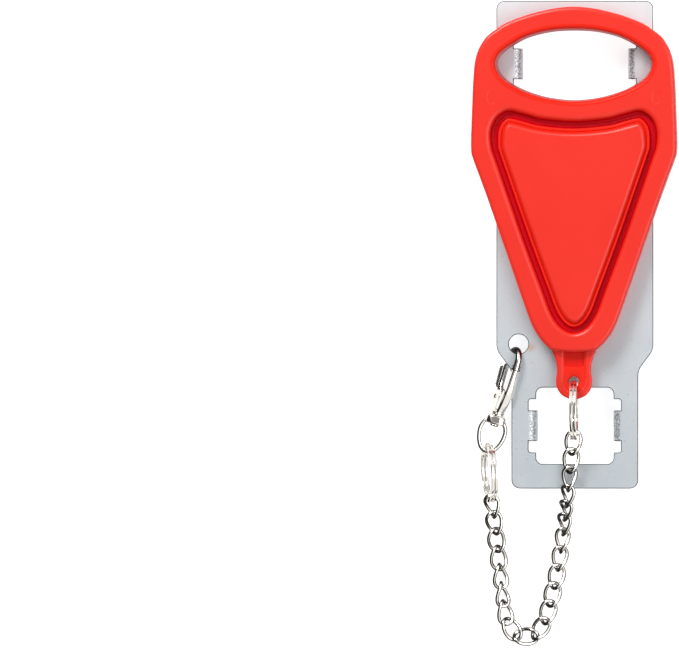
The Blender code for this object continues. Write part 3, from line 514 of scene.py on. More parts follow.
def oval(tree, place, centre, size):
    """How far a place lies from an oval's centre, 1 on its edge."""
    inside = add(tree, "ShaderNodeMapping", {
        "Vector": place, "Location": (*centre, 0), "Scale": (*size, 1),
    }, vector_type="TEXTURE").outputs["Vector"]
    return add(tree, "ShaderNodeVectorMath", {0: inside}, operation="LENGTH").outputs["Value"]


def drawn(tree, place, share):
    """Object coordinates drawn out along Y, for rolling lines."""
    return add(tree, "ShaderNodeMapping", {
        "Vector": place, "Scale": (1.0, share, 1.0),
    }).outputs["Vector"]


def bumped(tree, height, distance, strength, under=None):
    """A bump normal of this depth in metres, over another normal if there is one."""
    below = {} if under is None else {"Normal": under}
    return add(tree, "ShaderNodeBump", {
        "Height": height, "Distance": distance, "Strength": strength, **below,
    }).outputs["Normal"]


def set_up(tree, shader, **sockets):
    """Give the shader's sockets their values or links; a name's _ stands for a space."""
    for name, value in sockets.items():
        socket = shader.inputs[name.replace("_", " ")]
        if isinstance(value, bpy.types.NodeSocket):
            tree.links.new(value, socket)
        else:
            socket.default_value = value


def new_material(name):
    """An empty material: its node tree, its shader and its object coordinates."""
    made = bpy.data.materials.new(name)
    made.use_nodes = True
    tree = made.node_tree
    shader = tree.nodes["Principled BSDF"]
    place = add(tree, "ShaderNodeTexCoord").outputs["Object"]
    return made, tree, shader, place


def moulded_plastic(name, gloss_level, shaded_from=None, shaded_to=None):
    """Injection-moulded ABS: one red with a soft gloss, darkened with painted shade between two
    heights, where the recesses lie.

    Two faint ovals beside the finger hole are the marks that the mould's ejectors left.
    """
    made, tree, shader, place = new_material(name)
    flow = noise(tree, place, 26)
    red = mixed(tree, ramp(tree, flow, 0.35, 0.65), "#EA2717", "#EE2B1A")
    where = add(tree, "ShaderNodeSeparateXYZ", {"Vector": place}).outputs
    if shaded_from is not None:
        # Painted shade: the red darkens to #C40014 between these heights, where the recesses would
        # be shaded
        deep = ramp(tree, where["Z"], shaded_to, shaded_from, 1.0, 0.0, "SMOOTHSTEP")
        red = mixed(tree, deep, red, "#C40014")
    skin = noise(tree, place, 0.45, detail=3.0)
    aside = add(tree, "ShaderNodeMath", {0: where["X"]}, operation="ABSOLUTE").outputs[0]
    half = add(tree, "ShaderNodeCombineXYZ", {"X": aside, "Y": where["Y"]}).outputs[0]
    mark = ramp(tree, oval(tree, half, EJECTOR_MARK, EJECTOR_SIZE), 0.84, 1.0, kind="SMOOTHSTEP")
    dent = bumped(tree, mark, 0.00008, 0.6)
    set_up(
        tree, shader, Base_Color=red, Roughness=ramp(tree, skin, 0.0, 1.0, 0.28, 0.38),
        Normal=bumped(tree, skin, 0.00001, 0.3, dent), IOR=1.53, Specular_IOR_Level=gloss_level,
    )
    return made


def zinc_plate():
    """Zinc-plated sheet steel: a cool satin grey with painted light that pales it towards the wide
    end, with rolling lines, dull specks and a painted red-gold reflection beside the clasp hole."""
    made, tree, shader, place = new_material("zinc_plated_steel")
    rolling = noise(tree, drawn(tree, place, 0.06), 0.5, detail=4.0)
    cool = mixed(tree, noise(tree, place, 9, detail=5.0, roughness=0.6), "#C6CDD2", "#D5DCE1")
    dull = ramp(tree, noise(tree, place, 0.8, detail=3.0), 0.64, 0.72, 0.0, 0.45)
    spotted = mixed(tree, dull, cool, "#979DA1")
    # Painted reflection: a red-gold patch beside the clasp hole
    painted_reflection = ramp(tree, oval(tree, place, RED_REFLECTION_SPOT, RED_REFLECTION_SIZE), 0.0, 1.0, 0.75, 0.0, "SMOOTHSTEP")
    with_reflection = mixed(tree, painted_reflection, spotted, "#D39B78")
    # Painted light: the grey pales towards the wide end, as if more light fell there
    along = add(tree, "ShaderNodeSeparateXYZ", {"Vector": place}).outputs["Y"]
    fresh = mixed(tree, ramp(tree, along, PAINTED_LIGHT_FROM, PLATE_LENGTH / 2), with_reflection, "#EAEEF1")
    set_up(
        tree, shader, Base_Color=fresh, Roughness=ramp(tree, rolling, 0.0, 1.0, 0.34, 0.48),
        Normal=bumped(tree, rolling, 0.00001, 0.25), Metallic=0.6,
    )
    return made


def sheared_edge():
    """The stamped sheet's edge, darker than its face, because the die drags the plating off."""
    made, tree, shader, place = new_material("sheared_steel_edge")
    tone = mixed(tree, noise(tree, place, 0.7, detail=3.0), "#202326", "#6C7175")
    set_up(tree, shader, Base_Color=tone, Metallic=0.5, Roughness=0.55)
    return made


def bent_steel():
    """The claws: plated steel that the bending die has scored and pitted, its grey broken by
    near-white patches that are painted highlights."""
    made, tree, shader, place = new_material("scored_claw_steel")
    pits = add(tree, "ShaderNodeTexVoronoi", {
        "Vector": place, "Scale": per_metre(0.9),
    }).outputs["Distance"]
    grain = noise(tree, place, 0.5, detail=3.0)
    # Painted highlights: near-white patches in the grey stand for glints
    steel_with_painted_glints = mixed(tree, ramp(tree, grain, 0.40, 0.60), "#8E959B", "#E4E8EB")
    set_up(
        tree, shader, Base_Color=steel_with_painted_glints, Normal=bumped(tree, pits, 0.00012, 0.7), Metallic=0.55,
        Roughness=0.38,
    )
    return made


def bright_nickel(name, dark_at_slant=False):
    """Bright nickel plate over polished wire and castings: warm, mirror-like, a little uneven.

    On the thin wires, painted shade darkens what is seen at a slant, standing in for dark
    reflections at their edges.
    """
    made, tree, shader, place = new_material(name)
    wave = noise(tree, place, 1.6)
    tint = mixed(tree, wave, "#E9E3DA", "#F8F5F0")
    if dark_at_slant:
        # Painted shade: the tint turns near black where the surface is seen at a slant
        slant = add(tree, "ShaderNodeLayerWeight", {"Blend": 0.5}).outputs["Facing"]
        tint = mixed(tree, ramp(tree, slant, 0.14, 0.36, kind="SMOOTHSTEP"), tint, "#221C18")
    set_up(
        tree, shader, Base_Color=tint, Roughness=ramp(tree, wave, 0.0, 1.0, 0.06, 0.14),
        Normal=bumped(tree, wave, 0.00004, 0.3), Metallic=1.0,
    )
    return made


def spring_steel():
    """Blue-grey rolled spring strip, duller than the plating round it."""
    made, tree, shader, place = new_material("spring_steel")
    tone = mixed(tree, noise(tree, drawn(tree, place, 0.1), 0.3), "#7C7F84", "#9A9CA0")
    set_up(tree, shader, Base_Color=tone, Metallic=1.0, Roughness=0.32)
    return made


def shade_line_nickel():
    """Dull, nearly black nickel for thin lines: painted shade standing for the shaded walls of a
    recess and the gaps between ribs.
    """
    made, tree, shader, place = new_material("nickel_painted_shade_line")
    tone = mixed(tree, noise(tree, place, 0.4), "#151312", "#4A4642")
    set_up(tree, shader, Base_Color=tone, Metallic=0.8, Roughness=0.45)
    return made


RED = moulded_plastic("moulded_abs_red", 0.46)
# The red with painted shade, for the groove and the finger hole's walls
RED_WITH_PAINTED_SHADE = moulded_plastic(
    "moulded_abs_red_painted_shade_in_groove", 0.10, HANDLE_FACE - PAINTED_SHADE_FROM, HANDLE_FACE - PAINTED_SHADE_TO
)
# The red with painted shade, for the tab's sunk floor, pocket and bore
RED_POCKET_WITH_PAINTED_SHADE = moulded_plastic(
    "moulded_abs_red_painted_shade_in_pocket", 0.12, TAB_TOP - RECESS_DEPTH, TAB_TOP - 2 * POCKET_DEPTH
)
ZINC = zinc_plate()
EDGE = sheared_edge()
CLAW = bent_steel()
NICKEL = bright_nickel("bright_nickel")
# Nickel with painted dark edges, for the wires, pins, gate and strip
NICKEL_DARK_AT_SLANT = bright_nickel("bright_nickel_painted_dark_at_slant", dark_at_slant=True)
STRIP = spring_steel()
PAINTED_SHADE_LINE = shade_line_nickel()


# Handle

def handle_rim():
    """The whole handle's outline, body and tab."""
    return mirrored_outline(HANDLE_SHARES, HANDLE_WIDTH, HANDLE_LENGTH, HANDLE_TOP)


def step_arc():
    """The curved step between the body and the tab, as its circle's centre and radius."""
    step_y = HANDLE_TOP - HANDLE_LENGTH + TAB_STEP_FROM_END
    reach = HANDLE_WIDTH / 4
    radius = (reach**2 + TAB_STEP_BULGE**2) / (2 * TAB_STEP_BULGE)
    return Vector((0, step_y + radius)), radius


def body_outline():
    """The rim above the step, closed by the step's own curve with small rounded corners."""
    centre, radius = step_arc()
    rim = handle_rim()
    kept = [p for p in rim if p.y > centre.y or (p - centre).length < radius]
    right = [p for p in kept if p.x >= 0]
    left = [p for p in kept if p.x < 0]
    meet = right[-1]
    turn = math.degrees(math.atan2(meet.y - centre.y, meet.x - centre.x))
    lower = arc(centre, radius, turn, -180 - turn, OUTLINE_STEPS * 3)
    back = math.degrees(TAB_STEP_CORNER / radius)
    inner = arc(centre, radius, turn - back, -180 - turn + back, OUTLINE_STEPS * 3)

    def trimmed(side):
        return [p for p in side if (p - lower[0]).length > TAB_STEP_CORNER
                and (p - lower[-1]).length > TAB_STEP_CORNER]

    right, left = trimmed(right), trimmed(left)
    first = [bezier(right[-1], lower[0], inner[0], i / ROUND_STEPS) for i in range(1, ROUND_STEPS)]
    last = [bezier(inner[-1], lower[-1], left[0], i / ROUND_STEPS) for i in range(1, ROUND_STEPS)]
    return right + first + inner + last + left


def make_handle_body():
    """The thick part: rounded rim, finger hole, and the pad inside its stepped groove."""
    bm = bmesh.new()
    face, bottom, r, s = HANDLE_FACE, HANDLE_BOTTOM, HANDLE_EDGE_ROUND, FLAT_SUPPORT
    for_rim = (
        [(r + s, face)] + bend((r, face), (0, face), (0, face - r))
        + bend((0, bottom + r), (0, bottom), (r, bottom)) + [(r + s, bottom)]
    )
    draft = HOLE_DRAFT / (face - bottom)
    for_hole = [(-inset + draft * (face - height), height) for inset, height in for_rim]
    rim_top, rim_bottom = walk(bm, body_outline(), for_rim, None, TAB_STEP_CORNER)
    finger = mirrored_outline(
        FINGER_SHARES, FINGER_HOLE_WIDTH, FINGER_HOLE_HEIGHT, HANDLE_TOP - FINGER_HOLE_FROM_TOP
    )
    outside = set(bm.faces)
    hole_top, hole_bottom = walk(bm, finger, for_hole)
    # The finger hole's walls take the red with painted shade
    for part in set(bm.faces) - outside:
        part.material_index = 1

    groove = mirrored_outline(
        GROOVE_SHARES, GROOVE_WIDTH, GROOVE_LENGTH, HANDLE_TOP - GROOVE_FROM_TOP
    )
    wider = GROOVE_STRETCH - 1
    facing = [min(max(n.y / GROOVE_STRETCH_SPAN, 0.0), 1.0) for n in inward(groove)]
    stretch = relaxed([GROOVE_STRETCH - wider * share for share in facing], EASE_PASSES)
    lip, *steps, pad = GROOVE_CORNERS
    profile = [GROOVE_RIM] + bend(*lip) + [GROOVE_WALL]
    for corner in steps:
        profile += bend(*corner)
    profile += bend(*pad, ROUND_STEPS * 2) + [GROOVE_PAD]
    path = [(inset / 1000, face + height / 1000) for inset, height in profile]
    before = set(bm.faces)
    groove_top, pad_top = walk(bm, groove, path, stretch, GROOVE_EASE_BELOW)
    # The groove's lower faces take the red with painted shade
    for part in bm.faces:
        if part not in before and part.calc_center_median().z < face - PAINTED_SHADE_FROM / 3:
            part.material_index = 1
    fill(bm, rim_top, hole_top, groove_top)
    fill(bm, pad_top)
    fill(bm, rim_bottom, hole_bottom)
    return fine(bm, "handle_body")


def tab_outline():
    """The rim below the step, its hidden end drawn inwards under the body."""
    centre, radius = step_arc()
    rim = [p for p in handle_rim()
           if (p - centre).length > radius - TAB_UNDER_BODY and p.y < centre.y - radius / 2]
    for p in rim:
        inside = radius - (p - centre).length
        if inside > -TAB_STEP_CORNER:
            p.x -= math.copysign(TAB_END_INSET + TAB_END_DRAWN * max(inside, 0.0), p.x)
    return [p for p in rim if p.x >= 0] + [p for p in rim if p.x < 0]


def make_handle_tab():
    """The thin tab: a raised rim, a sunk slot-shaped floor, a deeper pocket and the ring's hole."""
    bm = bmesh.new()
    outline = tab_outline()
    r, s = TAB_EDGE_ROUND, FLAT_SUPPORT
    path = (
        [(r + s / 2, TAB_TOP)] + bend((r, TAB_TOP), (0, TAB_TOP), (0, TAB_TOP - r))
        + bend((0, TAB_BOTTOM + r), (0, TAB_BOTTOM), (r, TAB_BOTTOM)) + [(r + s / 2, TAB_BOTTOM)]
    )
    top, bottom = walk(bm, outline, path)
    hole = Vector((0, HANDLE_TOP - HANDLE_LENGTH + TAB_HOLE_FROM_END))
    half = RECESS_WIDTH / 2
    high = max(p.y for p in outline) - RECESS_FROM_END
    floor = TAB_TOP - RECESS_DEPTH
    slot = [Vector((-half, high)), Vector((half, high))]
    slot += arc(hole, half, 0, -180, OUTLINE_STEPS * 2)
    slot_top, slot_floor = walk(bm, slot, [
        (-0.0003, TAB_TOP), (-0.0002, TAB_TOP), (-0.0001, TAB_TOP - 0.00006),
        (0.0, floor + 0.00008), (0.0002, floor),
    ])
    fill(bm, top, slot_top)
    plain = set(bm.faces)
    low = HANDLE_TOP - HANDLE_LENGTH + TAB_STEP_FROM_END - POCKET_LENGTH
    wide, top_end, sunk = half - POCKET_WALL, high - POCKET_WALL, TAB_TOP - POCKET_DEPTH
    pocket = rounded([
        (-wide, top_end, 0), (wide, top_end, 0),
        (wide, low, POCKET_CORNER), (-wide, low, POCKET_CORNER),
    ])
    pocket_top, pocket_floor = walk(bm, pocket, [
        (-0.00025, floor), (0.0, floor - 0.00005), (0.0001, sunk), (0.0004, sunk),
    ])
    fill(bm, pocket_floor)
    circle = arc(hole, TAB_HOLE_DIAMETER / 2, 360, 0, CIRCLE_STEPS)[:-1]
    rim_out = (TAB_BORE_DIAMETER - TAB_HOLE_DIAMETER) / 2
    sink, lift = TAB_TOP - TAB_BORE_DEPTH, TAB_BOTTOM + TAB_BORE_DEPTH
    bore_top, bore_bottom = walk(bm, circle, [
        (-rim_out - 0.0001, floor), (-rim_out, floor), (-rim_out * 0.75, floor - 0.00012),
        (-rim_out * 0.4, sink + 0.0002), (-0.0002, sink), (0.0, sink - 0.0002),
        (0.0, lift + 0.0002), (-0.0002, lift), (-rim_out * 0.4, lift - 0.0002),
        (-rim_out, TAB_BOTTOM), (-rim_out - 0.0001, TAB_BOTTOM),
    ])
    fill(bm, slot_floor, pocket_top, bore_top)
    # The sunk floor, the pocket and the top of the bore take the red with painted shade
    for part in bm.faces:
        if part not in plain and part.calc_center_median().z > (TAB_TOP + TAB_BOTTOM) / 2:
            part.material_index = 1
    fill(bm, bottom, bore_bottom)
    return fine(bm, "handle_tab")


dress(make_handle_body(), [RED, RED_WITH_PAINTED_SHADE], "handle", "handle")
dress(make_handle_tab(), [RED, RED_POCKET_WITH_PAINTED_SHADE], "handle")


# Plate

def claw_root(window_width):
    """How far from the plate's middle line a claw's root lies."""
    return window_width / 2 - CLAW_INSET + CLAW_BEND_RADIUS + PLATE_THICKNESS


def both_sides(right):
    """A closed outline from the corners of its right side."""
    return rounded(right + [(-x, y, radius) for x, y, radius in reversed(right)])


def window_outline(centre_y, width, height):
    """A window whose sides step out into a claw root with a relief at each end of the claw."""
    edge, root = width / 2, claw_root(width)
    claw = CLAW_LENGTH / 2
    relief = claw + RELIEF_WIDTH
    upper = [
        (edge, height / 2, WINDOW_CORNER), (edge, relief, 0), (root, relief, RELIEF_CORNER),
        (root, claw, 0),
    ]
    right = upper + [(x, -y, radius) for x, y, radius in reversed(upper)]
    right = [(x, centre_y + y, radius) for x, y, radius in right]
    return both_sides(right)


def bend_claw(bm, root_x, centre_y):
    """Turn the wall at a claw's root about the bend line, then run it down."""
    side = math.copysign(1, root_x)
    wall = []
    for face in bm.faces:
        middle = face.calc_center_median()
        if (abs(face.normal.x + side) < 0.01 and abs(middle.x - root_x) < PLATE_THICKNESS / 10
                and abs(middle.y - centre_y) < CLAW_LENGTH / 2):
            wall.append(face)
    steps = ROUND_STEPS * 2
    turn = Matrix.Rotation(-side * math.pi / 2 / steps, 3, "Y")
    pivot = Vector((root_x, centre_y, -CLAW_BEND_RADIUS))
    for _ in range(steps):
        wall, verts = pulled(bm, wall)
        bmesh.ops.rotate(bm, cent=pivot, matrix=turn, verts=verts)
    wall, verts = pulled(bm, wall)
    bmesh.ops.translate(bm, vec=(0, 0, CLAW_BEND_RADIUS - CLAW_REACH), verts=verts)
    ends = [
        edge for edge in {edge for face in wall for edge in face.edges}
        if abs(edge.verts[0].co.y - edge.verts[1].co.y) < CLAW_TIP_CORNER
    ]
    bmesh.ops.bevel(
        bm, geom=ends, offset=CLAW_TIP_CORNER, offset_type="OFFSET", segments=6, profile=0.5,
        affect="EDGES", material=-1,
    )


def pulled(bm, faces):
    """Extrude faces and drop the old ones; give back the new faces and their vertices."""
    grown = bmesh.ops.extrude_face_region(bm, geom=faces)["geom"]
    bmesh.ops.delete(bm, geom=faces, context="FACES")
    fresh = [g for g in grown if isinstance(g, bmesh.types.BMFace)]
    return fresh, list({vert for face in fresh for vert in face.verts})


def make_plate():
    """The stamped plate with its claws bent down, and every stamped edge slightly broken."""
    bm = bmesh.new()
    half, lower, end = PLATE_WIDTH / 2, PLATE_LOWER_WIDTH / 2, PLATE_LENGTH / 2
    rim = both_sides([
        (half, end, PLATE_TOP_CORNER), (half, -SHOULDER_FROM_CENTRE, PLATE_SHOULDER_CORNER),
        (lower, -SHOULDER_FROM_CENTRE - SHOULDER_DROP, PLATE_SHOULDER_CORNER),
        (lower, -end, PLATE_BOTTOM_CORNER),
    ])
    outlines = [rim, arc(CLASP_HOLE, CLASP_HOLE_DIAMETER / 2, 0, 360, CIRCLE_STEPS)[:-1]]
    outlines += [window_outline(*window) for window in WINDOWS]
    fill(bm, *[loop(bm, [(p.x, p.y, 0) for p in outline])[1] for outline in outlines])
    grown = bmesh.ops.extrude_face_region(bm, geom=bm.faces[:])["geom"]
    lifted = [g for g in grown if isinstance(g, bmesh.types.BMVert)]
    bmesh.ops.translate(bm, vec=(0, 0, PLATE_THICKNESS), verts=lifted)
    bmesh.ops.recalc_face_normals(bm, faces=bm.faces)
    for centre_y, width, _ in WINDOWS:
        bend_claw(bm, claw_root(width), centre_y)
        bend_claw(bm, -claw_root(width), centre_y)
    for part in bm.faces:
        if part.normal.z < 0.99 and is_claw(part.calc_center_median()):
            part.material_index = 2
    sharp = [e for e in bm.edges if e.calc_face_angle(0) > math.radians(50)]
    broken = bmesh.ops.bevel(
        bm, geom=sharp, offset=PLATE_EDGE_ROUND, offset_type="OFFSET", segments=3, profile=0.5,
        affect="EDGES", material=-1, clamp_overlap=False,
    )
    for part in broken["faces"]:
        part.material_index = 1
    piece = fine(bm, "lock_plate", PLATE_SMOOTH_BELOW)
    flat = piece.modifiers.new("flat_faces", "WEIGHTED_NORMAL")
    flat.keep_sharp = True
    flat.weight = 100
    return piece


def is_claw(place):
    """Whether a place lies on a claw or on its bend."""
    return any(
        abs(place.y - centre_y) < CLAW_LENGTH / 2
        and abs(place.x) < claw_root(width) + PLATE_EDGE_ROUND
        and abs(place.x) > width / 2 - CLAW_INSET - PLATE_THICKNESS / 4
        for centre_y, width, _ in WINDOWS
    )


dress(make_plate(), [ZINC, EDGE, CLAW], "plate", "plate")


# Rings and chain

def tube(name, runs, radius, place, closed=False, ends=None):
    """Round wires along runs of points; ends holds the radius's shares at the last points."""
    line = bpy.data.curves.new(name, "CURVE")
    line.dimensions = "3D"
    line.bevel_depth = radius
    line.bevel_resolution = 6
    line.use_fill_caps = not closed
    for run in runs:
        spline = line.splines.new("POLY")
        spline.points.add(len(run) - 1)
        for spot, point in zip(spline.points, run):
            spot.co = (*(place @ point), 1.0)
        for spot, share in zip(reversed(spline.points), reversed(ends or [])):
            spot.radius = share
        spline.use_cyclic_u = closed
    piece = bpy.data.objects.new(name, line)
    bpy.context.scene.collection.objects.link(piece)
    return piece


def link_points():
    """A curb link's centre line: an oval along X whose plane turns from end to end."""
    points = []
    for i in range(CIRCLE_STEPS):
        turn = 2 * math.pi * (i + 0.5) / CIRCLE_STEPS
        c, s = math.cos(turn), math.sin(turn)
        x = math.copysign(abs(c) ** (2 / LINK_SQUARENESS), c) * (LINK_LENGTH - LINK_WIRE) / 2
        y = math.copysign(abs(s) ** (2 / LINK_SQUARENESS), s) * (LINK_WIDTH - LINK_WIRE) / 2
        twist = math.radians(LINK_TWIST) * x / (LINK_LENGTH - LINK_WIRE)
        points.append(Vector((x, y * math.cos(twist), y * math.sin(twist))))
    return points


def make_chain():
    """Each link lies from its own joint to the next one, rolled about that line."""
    spots = {j["child"]: Vector(j["pos_m"]) for j in frame["joints"] if "pos_m" in j}
    bodies = [f"link_{number:02d}" for number in range(1, len(LINK_ROLLS) + 1)]
    for body, after, roll in zip(bodies, bodies[1:] + ["clasp_ring"], LINK_ROLLS):
        a, b = spots[body], spots[after]
        along = (b - a).normalized()
        across = Vector((0, 0, 1)).cross(along).normalized()
        turn = Matrix((along, across, along.cross(across))).transposed().to_4x4()
        turn = turn @ Matrix.Rotation(math.radians(roll), 4, "X")
        place = Matrix.Translation((a + b) / 2) @ turn
        piece = tube("curb_" + body, [link_points()], LINK_WIRE / 2, place, closed=True)
        dress(piece, [NICKEL_DARK_AT_SLANT], body, "chain_" + body)


def make_split_ring():
    """A split ring wound twice round from one flat wire: coil, cross-over, coil."""
    bm = bmesh.new()
    half_r, half_w = RING_WIRE_RADIAL / 2, RING_WIRE_WIDTH / 2
    mean = RING_DIAMETER / 2 - half_r
    shift = RING_WIRE_WIDTH + RING_COIL_GAP
    bmesh.ops.create_grid(bm, x_segments=1, y_segments=1, size=1.0)
    bmesh.ops.scale(bm, vec=(half_w, half_r, 1), verts=bm.verts)
    bmesh.ops.bevel(
        bm, geom=bm.verts[:], offset=RING_EDGE_ROUND, offset_type="OFFSET", segments=3, profile=0.5,
        affect="VERTICES", material=-1,
    )
    bmesh.ops.translate(bm, vec=(-shift / 2, mean, 0), verts=bm.verts)
    spot = Matrix.Rotation(math.radians(RING_END_TURN), 3, "X")
    bmesh.ops.rotate(bm, cent=(0, 0, 0), matrix=spot, verts=bm.verts)
    end = bm.faces[:]
    coil = 360.0 - RING_END_TURN - RING_CROSS_TURN
    cross = (RING_CROSS_TURN, CROSS_STEPS, shift / 2)
    for angle, steps, drift in ((coil, COIL_STEPS, 0.0), cross, cross, (coil, COIL_STEPS, 0.0)):
        grown = bmesh.ops.spin(
            bm, geom=end, cent=(0, 0, 0), axis=(1, 0, 0), dvec=(drift / steps, 0, 0),
            angle=math.radians(angle), steps=steps, use_merge=False,
        )["geom_last"]
        end = [g for g in grown if isinstance(g, bmesh.types.BMFace)]
    return bm


def place_ring(name, node, lean, roll, body):
    """Put a split ring where its node lies, leaned about Z and rolled about Y."""
    low, high = (Vector(c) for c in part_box(node))
    bm = make_split_ring()
    turn = Matrix.Rotation(math.radians(lean), 4, "Z")
    turn = turn @ Matrix.Rotation(math.radians(roll), 4, "Y")
    bm.transform(Matrix.Translation((low + high) / 2) @ turn)
    dress(fine(bm, name, ROUND_SMOOTH_BELOW), [NICKEL], body, node)


make_chain()
place_ring("split_ring_at_handle", "split_ring_handle", 0.0, 0.0, "handle_ring")
place_ring(
    "split_ring_at_clasp", "split_ring_clasp", CLASP_RING_LEAN, CLASP_RING_ROLL, "clasp_ring"
)


# Clasp

def clasp_place(roll):
    """The clasp's axes in millimetres: X across it, Y from flange to hook, Z from gate to spine."""
    apex = (CLASP_HOLE[0] - HOOK_OUTWARDS, CLASP_HOLE[1] - HOOK_BELOW_CENTRE, CLASP_HEIGHT)
    lean = Matrix.Rotation(math.radians(-CLASP_LEAN), 4, "Z")
    turn = lean @ Matrix.Rotation(math.radians(roll), 4, "Y")
    down = Matrix.Translation((0, -HOOK_APEX, 0))
    return Matrix.Translation(apex) @ turn @ down @ Matrix.Scale(0.001, 4)


def loft(name, sections, place):
    """Join sections (y, z of the centre, half depth, half thickness, squareness) into a skin."""
    bm = bmesh.new()
    first = verts = edges = None
    for y, z, deep, thick, square in sections:
        ring = []
        for i in range(CIRCLE_STEPS):
            turn = 2 * math.pi * (i + 0.5) / CIRCLE_STEPS
            c, s = math.cos(turn), math.sin(turn)
            ring.append(place @ Vector((
                math.copysign(abs(c) ** (2 / square), c) * thick, y,
                math.copysign(abs(s) ** (2 / square), s) * deep + z,
            )))
        if first is None:
            verts, edges = loop(bm, ring)
            first = edges
        else:
            verts, edges = grow(bm, verts, edges, ring)
    fill(bm, first)
    fill(bm, edges)
    return fine(bm, name, ROUND_SMOOTH_BELOW)


def turned(name, profile, z, place):
    """A turned piece from its profile of (y, radius) steps."""
    return loft(name, [(y, z, radius, radius, 2.0) for y, radius in profile], place)


def slab(name, outline, low, high, edge, place):
    """A flat piece with rounded edges from a clockwise outline in the clasp's plane (z, y)."""
    bm = bmesh.new()
    path = (
        [(edge * 1.3, high)] + bend((edge, high), (0, high), (0, high - edge))
        + bend((0, low + edge), (0, low), (edge, low)) + [(edge * 1.3, low)]
    )
    top, bottom = walk(bm, outline, path)
    fill(bm, top)
    fill(bm, bottom)
    bm.transform(place @ Matrix.Rotation(math.radians(-90), 4, "Y"))
    return fine(bm, name)


def make_hook(place):
    """The hook's round wire and collar rings, the spine that swells into the body, the cheeks."""
    curl, straight, tip = HOOK_CURL * 1000, HOOK_STRAIGHT_TO * 1000, HOOK_TIP * 1000
    line = [Vector((0, HOOK_ROOT, curl)), Vector((0, straight, curl))]
    bow = arc((0, 0), curl, 0, 180, CIRCLE_STEPS // 2)[1:]
    line += [Vector((0, straight + p.y, p.x)) for p in bow]
    line += [Vector((0, tip + back, -curl)) for back in HOOK_TIP_BACK]
    wire = tube("hook_wire", [line], HOOK_WIRE / 2, place, ends=HOOK_TIP_SHARES)
    dress(wire, [NICKEL_DARK_AT_SLANT], "clasp", "clasp_body")
    dress(turned("hook_collars", COLLAR_PROFILE, curl, place), [NICKEL_DARK_AT_SLANT], "clasp")
    spine = through([Vector(section) for section in SPINE_SECTIONS], SPINE_STEPS)
    dress(loft("hook_spine", spine, place), [NICKEL], "clasp")
    dress(turned("hook_flange", FLANGE_PROFILE, 0, place), [NICKEL], "clasp")
    for name, low, high in CHEEK_SPANS:
        cheek = slab(name, rounded(CHEEK_CORNERS), low, high, CHEEK_EDGE, place)
        dress(cheek, [NICKEL], "clasp")
    # A thin near-black bead traces the panel's outline: painted shade standing for the shaded walls
    # of its recess
    bead = [Vector((PANEL_SIDE, p.y, p.x)) for p in rounded(PANEL_CORNERS)]
    dress(tube("panel_painted_shade_line", [bead], PANEL_LINE / 2, place, closed=True), [PAINTED_SHADE_LINE], "clasp")


def make_eye(place):
    """The barrel that turns on the rivet, and the D-shaped bow that leaves its sides."""
    dress(loft("eye_barrel", BARREL_SECTIONS, place), [NICKEL], "eye", "swivel_eye")
    half = [Vector((x * EYE_HALF_WIDTH, EYE_FROM - y * EYE_LENGTH)) for x, y in EYE_SHARES]
    bow = flowing(half + [Vector((-p.x, p.y)) for p in reversed(half[:-1])], OUTLINE_STEPS)
    line = [Vector((p.x, p.y, 0)) for p in bow]
    dress(tube("eye_bow", [line], EYE_WIRE / 2, place, closed=True), [NICKEL_DARK_AT_SLANT], "eye")


def make_lever(place):
    """The gate's arm and its broad thumb strip with ribs across it."""
    arm = slab("gate_arm", rounded(ARM_CORNERS), -ARM_HALF, ARM_HALF, ARM_EDGE, place)
    dress(arm, [NICKEL_DARK_AT_SLANT], "lever", "thumb_lever")
    strip = slab("thumb_strip", rounded(STRIP_CORNERS), -STRIP_HALF, STRIP_HALF, STRIP_EDGE, place)
    dress(strip, [NICKEL_DARK_AT_SLANT], "lever")
    across, down = RIB_CORNER
    ribs = []
    for i in range(RIBS):
        y = RIB_FIRST + RIB_PITCH * i
        edge = RIB_EDGE - RIB_SPREAD * i / (RIBS - 1)
        half = [
            (STRIP_HALF, RIB_ROOT), (STRIP_HALF, edge + down),
            (STRIP_HALF - across, edge - RIB_PROUD),
        ]
        rib = [(-x, z) for x, z in half] + half[::-1]
        ribs.append([Vector((x, y, z)) for x, z in rib])
    # The ribs are near-black: painted shade standing for the shade between them
    dress(tube("thumb_ribs", ribs, RIB_WIRE / 2, place), [PAINTED_SHADE_LINE], "lever")


def make_pins(place, upright):
    """The lever's pin with its domed ends, and the rivet that holds the eye."""
    sideways = place @ Matrix.Translation(PIN_PLACE) @ Matrix.Rotation(math.radians(90), 4, "Z")
    dress(turned("pin_of_lever", PIN_PROFILE, 0, sideways), [NICKEL_DARK_AT_SLANT], "clasp", "lever_pin")
    dress(turned("rivet_of_eye", RIVET_PROFILE, 0, upright), [NICKEL_DARK_AT_SLANT], "clasp", "swivel_rivet")


make_hook(clasp_place(CLASP_ROLL))
make_eye(clasp_place(0.0))
make_lever(clasp_place(CLASP_ROLL))
make_pins(clasp_place(CLASP_ROLL), clasp_place(0.0))
frame["nodes"]["lever_spring"].data.materials.clear()
frame["nodes"]["lever_spring"].data.materials.append(STRIP)


# Studio

def maths(tree, operation, first, second):
    """The result of an operation on two numbers."""
    return add(tree, "ShaderNodeMath", {0: first, 1: second}, operation=operation).outputs[0]


def vector_maths(tree, operation, first, second):
    """A node for an operation on two vectors."""
    return add(tree, "ShaderNodeVectorMath", {0: first, 1: second}, operation=operation)


